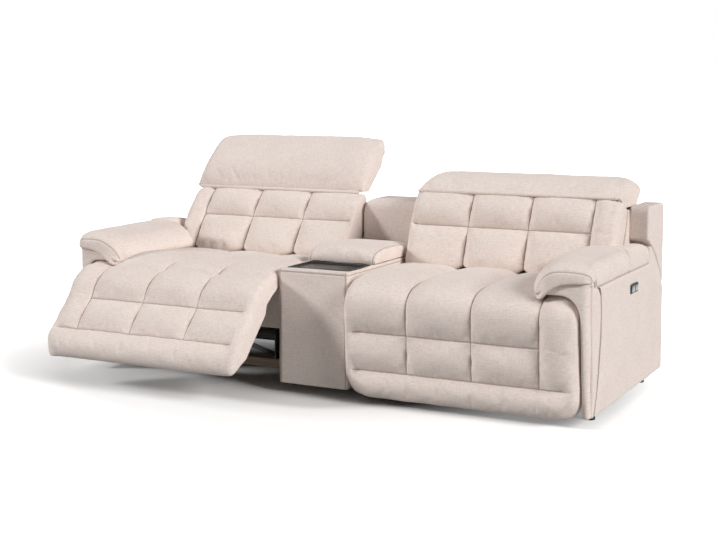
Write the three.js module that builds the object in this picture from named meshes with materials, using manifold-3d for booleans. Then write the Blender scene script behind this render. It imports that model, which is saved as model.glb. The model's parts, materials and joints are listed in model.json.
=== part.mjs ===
// Two seat power reclining sofa with a fixed storage console between the seats.
// Millimetres, +Z up, the front faces -Y, the floor is z = 0 and the console is centred on x = 0.
// Each seat is drawn shut and upright on the +X side. The other seat is its mirror image,
// set with its footrest half open, its back leaning and its headrest raised.

import * as THREE from "three";
import { mergeVertices } from "three/addons/utils/BufferGeometryUtils.js";
import Module from "manifold-3d";

const wasm = await Module();
wasm.setup();

// Whole sofa
const overall_width = 2154;
const body_depth = 930;
const panel_bottom_height = 40;
const fit_gap = 0.4;
const moving_gap = 6;
const cut_overrun = 4;
const merge_distance = 0.0001;
const round_sides = 16;

// Console between the seats
const console_width = 295;
const console_height = 478;
const console_corner_radius = 12;
const console_seat_gap = 7.5;
const console_lid_rear_inset = 257;
const console_body_rear_inset = 229;
const tray_front_margin = 40;
const tray_side_margin = 17;
const tray_length = 184;
const tray_depth = 12;
const tray_rim_width = 7;
const tray_dish_depth = 8;
const tray_rim_height = 2;
const bin_front_inset = 243;
const bin_rear_inset = 269;
const bin_width = 236;
const bin_floor_height = 250;
const bin_wall = 3;
const console_back_front_rear_inset = 226;
const console_back_height = 684;
const console_back_corner_radius = 34;
const console_back_crown = 7;

// Console lid
const lid_front_inset = 229;
const lid_width = 292;
const lid_board_thickness = 6;
const lid_board_margin = 10;
const lid_pad_thickness = 52;
const lid_round = 26;
const lid_crown = 3;
const lid_hinge_radius = 3.5;
const lid_hinge_leaf_thickness = 1.6;
const lid_hinge_width = 200;
const lid_hinge_gap = 2;

// Arms
const arm_panel_thickness = 32;
const arm_seat_gap = 9;
const arm_side_top = 482;
const arm_front_depth = 36;
const arm_front_corner_radius = 22;
const arm_front_top = 504;
const arm_front_return = 68;
const arm_crescent_reach = 205;
const arm_crescent_drop = 42;
const arm_crescent_corner_width = 70;
const arm_crescent_corner_height = 76;
const arm_shoulder_top = 548;
const arm_sweep_radius = 488;
const arm_pad_reach = 252;
const arm_pad_front_reach = 219;
const arm_pad_tail_reach = 71;
const arm_pad_front_overhang = 47;
const arm_pad_inner_rear_inset = 483;
const arm_pad_rear_inset = 207;
const arm_pad_top = 582;
const arm_pad_inner_bottom = 474;
const arm_pad_front_inner_bottom = 460;
const arm_board_width = 122;
const arm_board_thickness = 12;
const arm_board_rear_inset = 489;

// Seat cushion and the fixed nose over its front edge
const channel_count = 3;
const outer_channel_width = 134;
const seat_top = 460;
const seat_nose_overhang = 54;
const seat_rear_inset = 385;
const seat_nose_bottom = 391.5;
const tuft_crown = 13;
const inner_round_width = 40;
const inner_round_depth = 34;
const outer_round_width = 84;
const outer_round_depth = 52;
const seat_side_fall = 10;
const seat_foam_margin = 20;

// Seat deck and front fascia
const deck_thickness = 12;
const deck_side_margin = 18;
const fascia_thickness = 12;
const fascia_inset = 55;
const fascia_bottom = 234;

// Footrest
const footrest_axis_overhang = 37;
const footrest_axis_height = 451;
const footrest_gap = 6;
const footrest_bottom = 42;
const footrest_lean = 18;
const footrest_bottom_round = 34;
const footrest_back_inset = 33;
const footrest_board_thickness = 12;
const footrest_board_margin = 20;
const footrest_bracket_thickness = 4;
const footrest_strap_bottom = 192;
const footrest_strap_top = 232;

// Recliner frame and linkage, one set near each side of the seat
const base_rail_height = 32;
const base_rail_bottom = 78;
const base_rail_width = 22;
const base_front_inset = 65;
const base_rear_inset = 109;
const foot_radius = 18;
const foot_inset = 20;
const foot_front_inset = 92;
const plate_inset = 49.5;
const plate_thickness = 4;
const crank_thickness = 4;
const pushrod_thickness = 4;
const linkage_gap = 0.9;
const plate_top = 315.4;
const plate_crossbar_size = 20;
const crossbar_front_inset = 405;
const crossbar_rear_inset = 203;
const crank_axis_inset = 273;
const crank_axis_height = 300;
const crank_length = 238;
const pushrod_length = 343;
const pushrod_eye_inset = 57;
const pushrod_eye_height = 213;
const link_half_width = 9;
const link_eye_radius = 14;
const torque_tube_radius = 9;
const pin_radius = 3.5;
const pin_hole_radius = 9;
const bearing_gap = 0.5;

// Motors
const motor_width = 64;
const motor_head_length = 62;
const motor_head_height = 29;
const motor_can_radius = 20;
const motor_leg_width = 30;

// Back
const recline_axis_rear_inset = 425;
const recline_axis_height = 120;
const back_inner_inset = 3;
const back_outer_inset = 36;
const back_bottom_height = 452;
const back_foot_rear_inset = 458;
const back_top_rear_inset = 345;
const back_top_height = 741;
const back_thickness = 106;
const back_inner_round_depth = 26;
const back_outer_round_depth = 30;
const back_board_thickness = 13;
const back_board_bottom = 431;
const back_arm_width = 32;
const back_arm_thickness = 6;
const back_arm_inset = 90.5;
const shell_wall = 12;
const shell_rear_inset = 15;
const shell_top = 689;
const shell_rear_bottom = 262;
const shell_side_margin = 5;

// Wing beside the back
const wing_front_rear_inset = 237;
const wing_top = 704;
const wing_rear_inset = 9;
const wing_corner_radius = 26;
const wing_seat_gap = 3;

// Headrest
const headrest_length = 320;
const headrest_rise = 54;
const headrest_underside = 697;
const headrest_slope_gap = 4;
const headrest_end_round_width = 92;
const headrest_end_round_depth = 46;
const headrest_side_margin = 6;
const headrest_board_thickness = 6;
const headrest_board_margin = 12;
const hinge_strap_thickness = 1.3;
const hinge_barrel_radius = 1.7;
const hinge_strap_width = 40;
const hinge_strap_inset = 190.5;

// Switch in each outer side panel
const switch_length = 95;
const switch_height = 33;
const switch_front_inset = 463;
const switch_bottom_height = 402;
const switch_bezel_proud = 2.4;
const switch_pocket_depth = 14;
const switch_rim = 4;
const switch_button_proud = 1.6;
const switch_button_gap = 0.8;
const switch_button_travel = 1.2;

// Poses at rest, degrees
const footrest_open_angle = 45;
const back_lean_angle = 12.6;
const headrest_raise_angle = 52;
const crank_turn_ratio = 1.0867;
const pushrod_turn_ratio = 0.99;

// Places worked out from the sizes above
const half_width = overall_width / 2;
const front_y = -body_depth / 2;
const rear_y = body_depth / 2;
const console_lid_rear = rear_y - console_lid_rear_inset;
const console_body_rear = rear_y - console_body_rear_inset;
const bin_rear = rear_y - bin_rear_inset;
const console_back_front = rear_y - console_back_front_rear_inset;
const arm_pad_inner_rear = rear_y - arm_pad_inner_rear_inset;
const arm_pad_rear = rear_y - arm_pad_rear_inset;
const arm_board_rear = rear_y - arm_board_rear_inset;
const seat_rear = rear_y - seat_rear_inset;
const base_rear = rear_y - base_rear_inset;
const crossbar_rear = rear_y - crossbar_rear_inset;
const back_foot_y = rear_y - back_foot_rear_inset;
const back_top_y = rear_y - back_top_rear_inset;
const shell_rear = rear_y - shell_rear_inset;
const wing_front = rear_y - wing_front_rear_inset;
const wing_rear = rear_y - wing_rear_inset;
const bin_front = front_y + bin_front_inset;
const lid_front = front_y + lid_front_inset;
const crossbar_front = front_y + crossbar_front_inset;
const switch_front_y = front_y + switch_front_inset;
const recline_axis_back = rear_y - recline_axis_rear_inset;
const fascia_forward = -front_y - fascia_inset;
const footrest_back_forward = -front_y - footrest_back_inset;
const base_front_forward = -front_y - base_front_inset;
const crank_axis_forward = -front_y - crank_axis_inset;
const pushrod_eye_forward = -front_y - pushrod_eye_inset;
const seat_nose_forward = seat_nose_overhang - front_y;
const footrest_axis_forward = footrest_axis_overhang - front_y;
const arm_pad_front = front_y - arm_pad_front_overhang;
const arm_inner_x = half_width - arm_panel_thickness;
const seat_inner_x = console_width / 2 + console_seat_gap;
const seat_outer_x = arm_inner_x - arm_seat_gap;
const seat_centre_x = (seat_inner_x + seat_outer_x) / 2;
const seat_half_width = (seat_outer_x - seat_inner_x) / 2;
const channel_pitch = (seat_outer_x - seat_inner_x - outer_channel_width) / channel_count;
const seams = Array.from({ length: channel_count }, (_, k) => seat_inner_x + (k + 1) * channel_pitch);
const plate_offset = seat_half_width - plate_inset;
const back_arm_offset = seat_half_width - back_arm_inset;
const hinge_strap_offset = seat_half_width - hinge_strap_inset;
const footrest_axis = [-footrest_axis_forward, footrest_axis_height];
const recline_axis = [recline_axis_back, recline_axis_height];
const headrest_axis = [back_top_y, back_top_height];
const crank_axis = [-crank_axis_forward, crank_axis_height];
const pushrod_eye = [-pushrod_eye_forward, pushrod_eye_height];
const base_top = base_rail_bottom + base_rail_height;

// Finishes
const woven = { color: 0xe6d8cf, roughness: 0.95, metalness: 0 };
const timber = { color: 0xc9a97c, roughness: 0.7, metalness: 0 };
const steel = { color: 0x55565a, roughness: 0.45, metalness: 0.9 };
const black_plastic = { color: 0x1d1c1d, roughness: 0.4, metalness: 0 };
const gloss_black = { color: 0x171516, roughness: 0.12, metalness: 0 };
const chrome = { color: 0xb9bbbe, roughness: 0.25, metalness: 1 };
const grey_plastic = { color: 0x4b4b4e, roughness: 0.5, metalness: 0 };

// Solids

function toManifold(geometry) {
  const bare = geometry.clone();
  bare.deleteAttribute("normal");
  bare.deleteAttribute("uv");
  const merged = mergeVertices(bare, merge_distance);
  return new wasm.Manifold(
    new wasm.Mesh({
      numProp: 3,
      vertProperties: merged.attributes.position.array,
      triVerts: new Uint32Array(merged.index.array),
    }),
  );
}

function fromManifold(solid) {
  const mesh = solid.getMesh();
  const geometry = new THREE.BufferGeometry();
  geometry.setAttribute("position", new THREE.BufferAttribute(mesh.vertProperties, 3));
  geometry.setIndex(new THREE.BufferAttribute(mesh.triVerts, 1));
  return geometry;
}

function union(...pieces) {
  return fromManifold(pieces.map(toManifold).reduce((sum, piece) => sum.add(piece)));
}

function subtract(body, ...cutters) {
  const start = toManifold(body);
  return fromManifold(cutters.map(toManifold).reduce((left, cutter) => left.subtract(cutter), start));
}

function intersect(first, second) {
  return fromManifold(toManifold(first).intersect(toManifold(second)));
}

function box(x0, x1, y0, y1, z0, z1) {
  const geometry = new THREE.BoxGeometry(x1 - x0, y1 - y0, z1 - z0);
  return geometry.translate((x0 + x1) / 2, (y0 + y1) / 2, (z0 + z1) / 2);
}

function extruded(points, length) {
  const shape = new THREE.Shape(points.map(([u, v]) => new THREE.Vector2(u, v)));
  return new THREE.ExtrudeGeometry(shape, { depth: length, bevelEnabled: false, steps: 1 });
}

// A prism whose outline is given in (y, z) and which runs along x.
function prismX(points, x0, x1) {
  const turn = new THREE.Matrix4().set(0, 0, 1, x0, 1, 0, 0, 0, 0, 1, 0, 0, 0, 0, 0, 1);
  return extruded(points, x1 - x0).applyMatrix4(turn);
}

// A prism whose outline is given in (x, z) and which runs along y.
function prismY(points, y0, y1) {
  const turn = new THREE.Matrix4().set(1, 0, 0, 0, 0, 0, -1, y1, 0, 1, 0, 0, 0, 0, 0, 1);
  return extruded(points, y1 - y0).applyMatrix4(turn);
}

// A prism whose outline is given in (x, y) and which runs along z.
function prismZ(points, z0, z1) {
  return extruded(points, z1 - z0).translate(0, 0, z0);
}

// A round bar along x, about the point [y, z].
function barX([y, z], radius, x0, x1) {
  const bar = new THREE.CylinderGeometry(radius, radius, x1 - x0, round_sides);
  return bar.rotateZ(Math.PI / 2).translate((x0 + x1) / 2, y, z);
}

function barY(x, z, radius, y0, y1) {
  const bar = new THREE.CylinderGeometry(radius, radius, y1 - y0, round_sides);
  return bar.translate(x, (y0 + y1) / 2, z);
}

function barZ(x, y, radius, z0, z1) {
  const bar = new THREE.CylinderGeometry(radius, radius, z1 - z0, round_sides);
  return bar.rotateX(Math.PI / 2).translate(x, y, (z0 + z1) / 2);
}

// Points of an arc about [u, v], from one angle to another, in degrees.
function arc(centre, radius, from, to, steps) {
  return ovalArc(centre, radius, radius, from, to, steps);
}

function ovalArc([u, v], radius_u, radius_v, from, to, steps) {
  return Array.from({ length: steps + 1 }, (_, step) => {
    const angle = THREE.MathUtils.degToRad(from + ((to - from) * step) / steps);
    return [u + radius_u * Math.cos(angle), v + radius_v * Math.sin(angle)];
  });
}

function roundedRectangle(u0, u1, v0, v1, radius, steps) {
  return [
    ...arc([u1 - radius, v0 + radius], radius, -90, 0, steps),
    ...arc([u1 - radius, v1 - radius], radius, 0, 90, steps),
    ...arc([u0 + radius, v1 - radius], radius, 90, 180, steps),
    ...arc([u0 + radius, v0 + radius], radius, 180, 270, steps),
  ];
}

// A flat bar in the y-z plane between two eyes, made of its two discs and the web between them.
function linkBar(start, end, x0, x1, start_radius = link_eye_radius) {
  const along = new THREE.Vector2(end[0] - start[0], end[1] - start[1]).normalize();
  const side = [-along.y * link_half_width, along.x * link_half_width];
  const web = [
    [start[0] - side[0], start[1] - side[1]],
    [end[0] - side[0], end[1] - side[1]],
    [end[0] + side[0], end[1] + side[1]],
    [start[0] + side[0], start[1] + side[1]],
  ];
  return union(prismX(web, x0, x1), barX(start, start_radius, x0, x1), barX(end, link_eye_radius, x0, x1));
}

// Moves a solid about an axis along x. A positive angle opens, leans back or lowers.
function turned(geometry, axis, degrees) {
  if (degrees === 0) return geometry;
  const moved = geometry.clone().translate(0, -axis[0], -axis[1]);
  return moved.rotateX(-THREE.MathUtils.degToRad(degrees)).translate(0, axis[0], axis[1]);
}

function mirrored(geometry) {
  const flipped = mergeVertices(geometry.clone().scale(-1, 1, 1), merge_distance);
  const index = flipped.index.array;
  for (let i = 0; i < index.length; i += 3) {
    [index[i + 1], index[i + 2]] = [index[i + 2], index[i + 1]];
  }
  return flipped;
}

function middleOf(outline) {
  return [0, 1].map((axis) => outline.reduce((sum, point) => sum + point[axis], 0) / outline.length);
}

// Padding. A pad is a row of closed outlines, one at each station. Most pads have their
// outlines in (y, z) and their stations across x.
const acrossX = ({ x }, [y, z]) => [x, y, z];
const alongY = ({ y }, [x, z]) => [x, y, z];
function lofted(stations, outlineAt, { toPoint = acrossX, capCentre = middleOf } = {}) {
  const outlines = stations.map(outlineAt);
  const count = outlines[0].length;
  const positions = outlines.flatMap((outline, i) => outline.flatMap((point) => toPoint(stations[i], point)));
  const index = [];
  for (let i = 0; i + 1 < outlines.length; i++) {
    for (let k = 0; k < count; k++) {
      const next = (k + 1) % count;
      const [a, b, c, d] = [i * count + k, i * count + next, (i + 1) * count + next, (i + 1) * count + k];
      index.push(a, c, b, a, d, c);
    }
  }
  for (const row of [0, outlines.length - 1]) {
    const centre = positions.length / 3;
    positions.push(...toPoint(stations[row], capCentre(outlines[row])));
    for (let k = 0; k < count; k++) {
      const [p, q] = [row * count + k, row * count + ((k + 1) % count)];
      index.push(centre, ...(row === 0 ? [p, q] : [q, p]));
    }
  }
  const geometry = new THREE.BufferGeometry();
  geometry.setAttribute("position", new THREE.Float32BufferAttribute(positions, 3));
  geometry.setIndex(index);
  return toManifold(geometry).volume() > 0 ? geometry : inverted(geometry);
}

function inverted(geometry) {
  const index = geometry.index.array;
  for (let i = 0; i < index.length; i += 3) {
    [index[i + 1], index[i + 2]] = [index[i + 2], index[i + 1]];
  }
  return geometry;
}

// How far a sewn cell swells at a share of its width: nothing on its seams, all of it in the middle.
const swell_power = 0.55;
function swell(share) {
  return Math.pow(Math.max(0, 4 * share * (1 - share)), swell_power);
}

// How far a rounded end has drawn in, at a distance from that end.
function drawnIn(distance, width, depth) {
  if (distance >= width) return 0;
  const share = 1 - distance / width;
  return depth * (1 - Math.sqrt(1 - share * share));
}

// Stations across a seat-wide pad: on each seam, inside each cell and close to the two ends.
const cell_shares = [0.12, 0.5, 0.88];
const round_shares = [0.1, 0.4];
function stationsAcross(inner, outer, roundings) {
  const marks = [inner, ...seams, outer];
  const places = [inner, outer];
  marks.slice(0, -1).forEach((start, cell) => {
    const end = marks[cell + 1];
    places.push(...cell_shares.map((share) => start + share * (end - start)));
    if (cell > 0) places.push(start);
  });
  places.push(...round_shares.map((share) => inner + share * roundings.inner[0]));
  places.push(...round_shares.map((share) => outer - share * roundings.outer[0]));
  return [...new Set(places)].sort((a, b) => a - b).map((x) => {
    const cell = Math.max(0, marks.findIndex((mark, i) => i > 0 && x <= mark) - 1);
    const share = (x - marks[cell]) / (marks[cell + 1] - marks[cell]);
    const first = cell === 0;
    const last = cell === marks.length - 2;
    const puff = first ? swell((1 + share) / 2) : last ? swell(share / 2) : swell(share);
    const inset =
      drawnIn(x - inner, ...roundings.inner) + drawnIn(outer - x, ...roundings.outer);
    const across = (x - inner) / (outer - inner);
    return { x, puff, inset, across };
  });
}

// Outward directions along an open path in (y, z), given the two end directions.
function pathNormals(path, first, last) {
  return path.map((point, i) => {
    if (i === 0) return first;
    if (i === path.length - 1) return last;
    const [before, after] = [path[i - 1], path[i + 1]];
    const run = new THREE.Vector2(after[0] - before[0], after[1] - before[1]).normalize();
    return [run.y, -run.x];
  });
}

// A pad whose skin follows a path, swells between its sewn seams and closes along a plain back.
// Its rounded ends draw in along the skin's own normals, or along the direction that inward gives.
function quilted({ path, shares, rows, back, stations, first, last, crown, fall = 0, inward, capCentre }) {
  const normals = pathNormals(path, first, last);
  const row_puff = shares.map((share) => {
    const row = rows.findIndex((mark, i) => i > 0 && share <= mark);
    return swell((share - rows[row - 1]) / (rows[row] - rows[row - 1]));
  });
  const outlineAt = ({ puff, inset, across }) => {
    const draw = inset + fall * Math.pow(2 * across - 1, 2);
    const skin = path.map(([y, z], i) => {
      const [normal, out] = [normals[i], crown * puff * row_puff[i]];
      const pull = inward ? inward(shares[i]) : [-normal[0], -normal[1]];
      return [y + normal[0] * out + pull[0] * draw, z + normal[1] * out + pull[1] * draw];
    });
    return [...skin, ...back(draw)];
  };
  return lofted(stations, outlineAt, { capCentre });
}

// Console

function consoleBody() {
  const half = console_width / 2;
  const plan = roundedRectangle(-half, half, front_y, console_body_rear, console_corner_radius, 3);
  const body = prismZ(plan, panel_bottom_height, console_height);
  const cut_top = console_height + cut_overrun;
  const bin = box(-bin_width / 2, bin_width / 2, bin_front, bin_rear, bin_floor_height, cut_top);
  const tray_half = half - tray_side_margin + fit_gap;
  const tray_start = front_y + tray_front_margin - fit_gap;
  const tray_end = front_y + tray_front_margin + tray_length + fit_gap;
  const tray_pocket = box(-tray_half, tray_half, tray_start, tray_end, console_height - tray_depth, cut_top);
  return subtract(body, bin, tray_pocket);
}

function consoleFoot() {
  return barZ(0, 0, foot_radius, 0, panel_bottom_height - fit_gap);
}

function consoleTray() {
  const half = console_width / 2 - tray_side_margin;
  const start = front_y + tray_front_margin;
  const top = console_height + tray_rim_height;
  const slab = box(-half, half, start, start + tray_length, console_height - tray_depth + fit_gap, top);
  const dish = box(
    -half + tray_rim_width,
    half - tray_rim_width,
    start + tray_rim_width,
    start + tray_length - tray_rim_width,
    top - tray_dish_depth,
    top + cut_overrun,
  );
  return subtract(slab, dish);
}

function consoleBinLiner() {
  const half = bin_width / 2 - fit_gap;
  const [front, rear, floor] = [bin_front + fit_gap, bin_rear - fit_gap, bin_floor_height + fit_gap];
  const outside = box(-half, half, front, rear, floor, console_height);
  const inside = box(
    -half + bin_wall,
    half - bin_wall,
    front + bin_wall,
    rear - bin_wall,
    floor + bin_wall,
    console_height + cut_overrun,
  );
  return subtract(outside, inside);
}

const lid_board_bottom = console_height + tray_rim_height + fit_gap;
const lid_pad_bottom = lid_board_bottom + lid_board_thickness + fit_gap;
const lid_hinge_y = console_lid_rear + lid_hinge_gap + lid_hinge_radius;
const lid_hinge_z = console_height + fit_gap + lid_hinge_radius;

function consoleLidBoard() {
  const half = lid_width / 2 - lid_board_margin;
  const front = lid_front + lid_board_margin;
  const rear = lid_hinge_y - lid_hinge_radius - fit_gap;
  return box(-half, half, front, rear, lid_board_bottom, lid_board_bottom + lid_board_thickness);
}

// The lid pad is thickest in the front half and falls away to the hinge.
const lid_top_shares = [
  [-0.02, 0.3],
  [0, 0.62],
  [0.05, 0.86],
  [0.14, 0.97],
  [0.36, 1],
  [0.62, 0.86],
  [0.84, 0.62],
  [0.96, 0.44],
  [0.995, 0.3],
];
const lid_station_shares = [0, 0.02, 0.08, 0.25, 0.5, 0.75, 0.92, 0.98, 1];

function consoleLidPad() {
  const length = console_lid_rear - lid_front;
  const stations = lid_station_shares.map((share) => {
    const x = (share - 1 / 2) * lid_width;
    const inset = drawnIn(lid_width / 2 - Math.abs(x), lid_round, lid_round);
    return { x, inset, share };
  });
  const middle = lid_front + length / 2;
  return lofted(stations, ({ inset, share }) => {
    const crown = lid_crown * swell(share);
    const top = lid_top_shares.map(([along, up]) => {
      const y = lid_front + along * length;
      const height = up * (lid_pad_thickness - inset + crown);
      const pinch = (inset / length) * 2;
      return [y + (middle - y) * pinch, lid_pad_bottom + height];
    });
    return [[lid_front + inset, lid_pad_bottom], ...top, [console_lid_rear - inset, lid_pad_bottom]];
  });
}

function consoleLidHinge() {
  const half = lid_hinge_width / 2;
  const leaf_top = console_height + fit_gap + lid_hinge_leaf_thickness;
  const leaf = box(-half, half, lid_hinge_y, console_body_rear, console_height + fit_gap, leaf_top);
  return union(leaf, barX([lid_hinge_y, lid_hinge_z], lid_hinge_radius, -half, half));
}

const console_back_station_shares = [0, 0.03, 0.1, 0.3, 0.5, 0.7, 0.9, 0.97, 1];
const console_back_corner_steps = 4;

function consoleBackPanel() {
  const half = console_width / 2;
  const stations = console_back_station_shares.map((share) => ({ x: (2 * share - 1) * half, share }));
  const radius = console_back_corner_radius;
  return lofted(stations, ({ x, share }) => {
    const drop = drawnIn(half - Math.abs(x), radius, radius);
    const top = console_back_height - drop;
    const front = console_back_front + console_back_crown * (1 - swell(share));
    return [
      [front, panel_bottom_height],
      [front, top - radius],
      ...arc([front + radius, top - radius], radius, 180, 90, console_back_corner_steps),
      ...arc([shell_rear - radius, top - radius], radius, 90, 0, console_back_corner_steps),
      [shell_rear, panel_bottom_height],
    ];
  });
}

// Arms

// Where a circle about the recline axis crosses a height or a depth. It bounds what the back may sweep.
function sweepYAt(radius, z) {
  return recline_axis[0] + Math.sqrt(radius * radius - (z - recline_axis[1]) ** 2);
}

function sweepZAt(radius, y) {
  return recline_axis[1] + Math.sqrt(radius * radius - (y - recline_axis[0]) ** 2);
}

function sweepArc(radius, y0, y1, steps) {
  return Array.from({ length: steps + 1 }, (_, step) => {
    const y = y0 + ((y1 - y0) * step) / steps;
    return [y, sweepZAt(radius, y)];
  });
}

// The seam between an arm's side and its front roll, as shares of the return's depth and the side's height.
const arm_front_seam_shares = [
  [0, 0],
  [0.4, 0.15],
  [0.68, 0.35],
  [0.96, 0.58],
  [1, 0.77],
  [0.88, 0.94],
  [0.66, 1],
];

function armFrontSeam() {
  const height = arm_side_top - panel_bottom_height;
  const start = front_y + arm_front_depth;
  return arm_front_seam_shares.map(([back, up]) => [
    start + back * arm_front_return,
    panel_bottom_height + up * height,
  ]);
}

const arm_shoulder_steps = 6;

function armSidePanel() {
  const seam = armFrontSeam();
  const peak_y = sweepYAt(arm_sweep_radius, arm_shoulder_top);
  const curl = arm_pad_rear + fit_gap;
  const outline = [
    [rear_y, panel_bottom_height],
    ...sweepArc(arm_sweep_radius, rear_y, peak_y, arm_shoulder_steps),
    [curl, arm_shoulder_top],
    [curl, arm_side_top],
    ...seam.map(([y, z]) => [y + fit_gap, z]).reverse(),
  ];
  const panel = prismX(outline, arm_inner_x, half_width);
  return subtract(panel, switchPocket(fit_gap));
}

// The front roll: a narrow strip up the side of the seat that widens to a crescent under the arm pad.
const crescent_top_shares = [
  [0, 0],
  [0.1, 0.34],
  [0.24, 0.68],
  [0.42, 0.9],
  [0.6, 1],
];
const crescent_corner_steps = 6;

function armFrontPanel() {
  const foot_x = seat_outer_x + moving_gap;
  const tip_x = half_width - arm_crescent_reach;
  const low = arm_front_top - arm_crescent_drop;
  const corner = [foot_x - arm_crescent_corner_width, low - arm_crescent_corner_height];
  const outline = [
    [half_width, panel_bottom_height],
    [half_width, arm_front_top],
    ...crescent_top_shares
      .map(([across, up]) => [tip_x + across * arm_crescent_reach, low + up * arm_crescent_drop])
      .reverse(),
    ...ovalArc(corner, arm_crescent_corner_width, arm_crescent_corner_height, 90, 0, crescent_corner_steps),
    [foot_x, panel_bottom_height],
  ];
  const crescent = prismY(outline, front_y, front_y + arm_front_depth);
  const roll = prismX(
    [[front_y, panel_bottom_height], ...armFrontSeam(), [front_y, arm_side_top]],
    arm_inner_x,
    half_width,
  );
  const inner_x = tip_x - arm_front_corner_radius;
  const radius = arm_front_corner_radius;
  const plan = roundedRectangle(inner_x, half_width, front_y, rear_y, radius, round_sides / 4);
  return intersect(union(crescent, roll), prismZ(plan, panel_bottom_height, arm_front_top));
}

const arm_board_front = front_y + arm_front_depth + fit_gap;

function armBoard() {
  const outer_x = arm_inner_x - fit_gap;
  const bottom = arm_side_top - arm_board_thickness;
  return box(outer_x - arm_board_width, outer_x, arm_board_front, arm_board_rear, bottom, arm_side_top);
}

// The pad's outline across the arm, as shares of its reach and height, from the inner edge over the top.
const arm_pad_outline_shares = [
  [0, 0.14],
  [0.02, 0.36],
  [0.1, 0.63],
  [0.24, 0.85],
  [0.42, 0.965],
  [0.6, 1],
  [0.79, 0.97],
  [0.91, 0.86],
  [0.98, 0.64],
  [1.012, 0.42],
];

const arm_pad_under_shares = [
  [0.995, 1],
  [0.7, 1],
  [0.36, 1],
  [0.26, 0.8],
  [0.14, 0.4],
  [0.015, 0],
];

// Stations along the pad: shares of each stretch's length, of the pad's top height and of its full girth.
const arm_pad_front_shares = [
  [0, 0.925, 0.8],
  [0.08, 0.934, 0.94],
  [0.28, 0.958, 0.99],
  [0.62, 0.978, 1],
  [0.9955, 0.986, 1],
];
const arm_pad_body_shares = [
  [0, 0.986, 1],
  [0.25, 0.994, 1],
  [0.65, 1, 1],
  [0.88, 1, 1],
  [0.97, 1, 0.98],
  [1, 0.998, 0.92],
];
const arm_pad_tail_shares = [
  [0, 0.998, 1],
  [0.35, 0.994, 1],
  [0.6, 0.978, 1],
  [0.86, 0.95, 1],
  [0.95, 0.926, 0.96],
  [1, 0.9, 0.8],
];

function armPadStations() {
  const bottom = arm_side_top + fit_gap;
  const front_bottom = arm_front_top + fit_gap;
  const front = { reach: arm_pad_front_reach, bottom: front_bottom, inner: arm_pad_front_inner_bottom };
  const body = { reach: arm_pad_reach, bottom, inner: arm_pad_inner_bottom };
  const tail = { reach: arm_pad_tail_reach, bottom, inner: bottom };
  const stretch = (kind, start, end, shares) =>
    shares.map(([along, up, girth]) => ({
      ...kind,
      y: start + along * (end - start),
      top: arm_pad_top * up,
      girth,
    }));
  return [
    ...stretch(front, arm_pad_front, arm_board_front, arm_pad_front_shares),
    ...stretch(body, arm_board_front, arm_pad_inner_rear, arm_pad_body_shares),
    ...stretch(tail, arm_pad_inner_rear + fit_gap, arm_pad_rear, arm_pad_tail_shares),
  ];
}

function armPad() {
  return lofted(
    armPadStations(),
    ({ reach, bottom, inner, top, girth }) => {
      const left = half_width - reach;
      const skin = arm_pad_outline_shares.map(([across, up]) => {
        const base = inner + (bottom - inner) * Math.min(1, 2 * across);
        return [left + across * reach, base + up * (top - base)];
      });
      const under = arm_pad_under_shares.map(([across, up]) => [
        left + across * reach,
        inner + up * (bottom - inner),
      ]);
      const middle = half_width - reach / 2;
      return [...skin, ...under].map(([x, z]) => [
        middle + (x - middle) * girth,
        z > bottom ? bottom + (z - bottom) * girth : z,
      ]);
    },
    { toPoint: alongY },
  );
}

// Seat

const seat_stations = stationsAcross(seat_inner_x, seat_outer_x, {
  inner: [inner_round_width, inner_round_depth],
  outer: [outer_round_width, outer_round_depth],
});

const deck_bottom = plate_top + fit_gap;
const deck_top = deck_bottom + deck_thickness;
const deck_front = -fascia_forward + fascia_thickness + fit_gap;
const deck_x = [seat_inner_x + deck_side_margin, seat_outer_x - deck_side_margin];

// The seat skin from its rear to the foot of the nose: shares of its depth and of its height over the nose.
const seat_skin_shares = [
  [0, 0.46],
  [0.1, 0.66],
  [0.2, 0.82],
  [0.35, 0.94],
  [0.5, 0.99],
  [0.64, 1],
  [0.76, 0.96],
  [0.84, 0.87],
  [0.9, 0.73],
  [0.95, 0.49],
  [0.982, 0.22],
  [0.99, 0],
];

function seatCushion() {
  const depth = seat_rear + seat_nose_forward;
  const height = seat_top - seat_nose_bottom;
  const path = seat_skin_shares.map(([back, up]) => [
    seat_rear - back * depth,
    seat_nose_bottom + up * height,
  ]);
  const foam_bottom = deck_top + fit_gap;
  return quilted({
    path,
    shares: seat_skin_shares.map(([back]) => back),
    rows: [0, 2],
    back: () => [[deck_front, seat_nose_bottom], [deck_front, foam_bottom], [seat_rear, foam_bottom]],
    capCentre: () => [deck_front + seat_foam_margin, (seat_nose_bottom + seat_top - outer_round_depth) / 2],
    stations: seat_stations,
    first: [0, 1],
    last: [-1, 0],
    crown: tuft_crown,
    fall: seat_side_fall,
  });
}

function seatDeck() {
  return box(...deck_x, deck_front, seat_rear - fit_gap, deck_bottom, deck_top);
}

function seatFascia() {
  const front = -fascia_forward;
  return box(...deck_x, front, front + fascia_thickness, fascia_bottom, seat_nose_bottom - fit_gap);
}

// Footrest

const footrest_top = seat_nose_bottom - footrest_gap;
const footrest_seam_shares = [0.33, 0.737];

// The footrest skin from its top to the foot of its bottom roll: shares of its height,
// and of the bottom roll's depth.
const footrest_skin_shares = [
  [0, 0],
  [0.1, 0],
  [0.2, 0],
  [footrest_seam_shares[0], 0],
  [0.43, 0],
  [0.535, 0],
  [0.64, 0],
  [footrest_seam_shares[1], 0],
  [0.81, 0],
  [0.88, 0.04],
  [0.95, 0.22],
  [0.985, 0.5],
  [1, 1],
];

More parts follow.
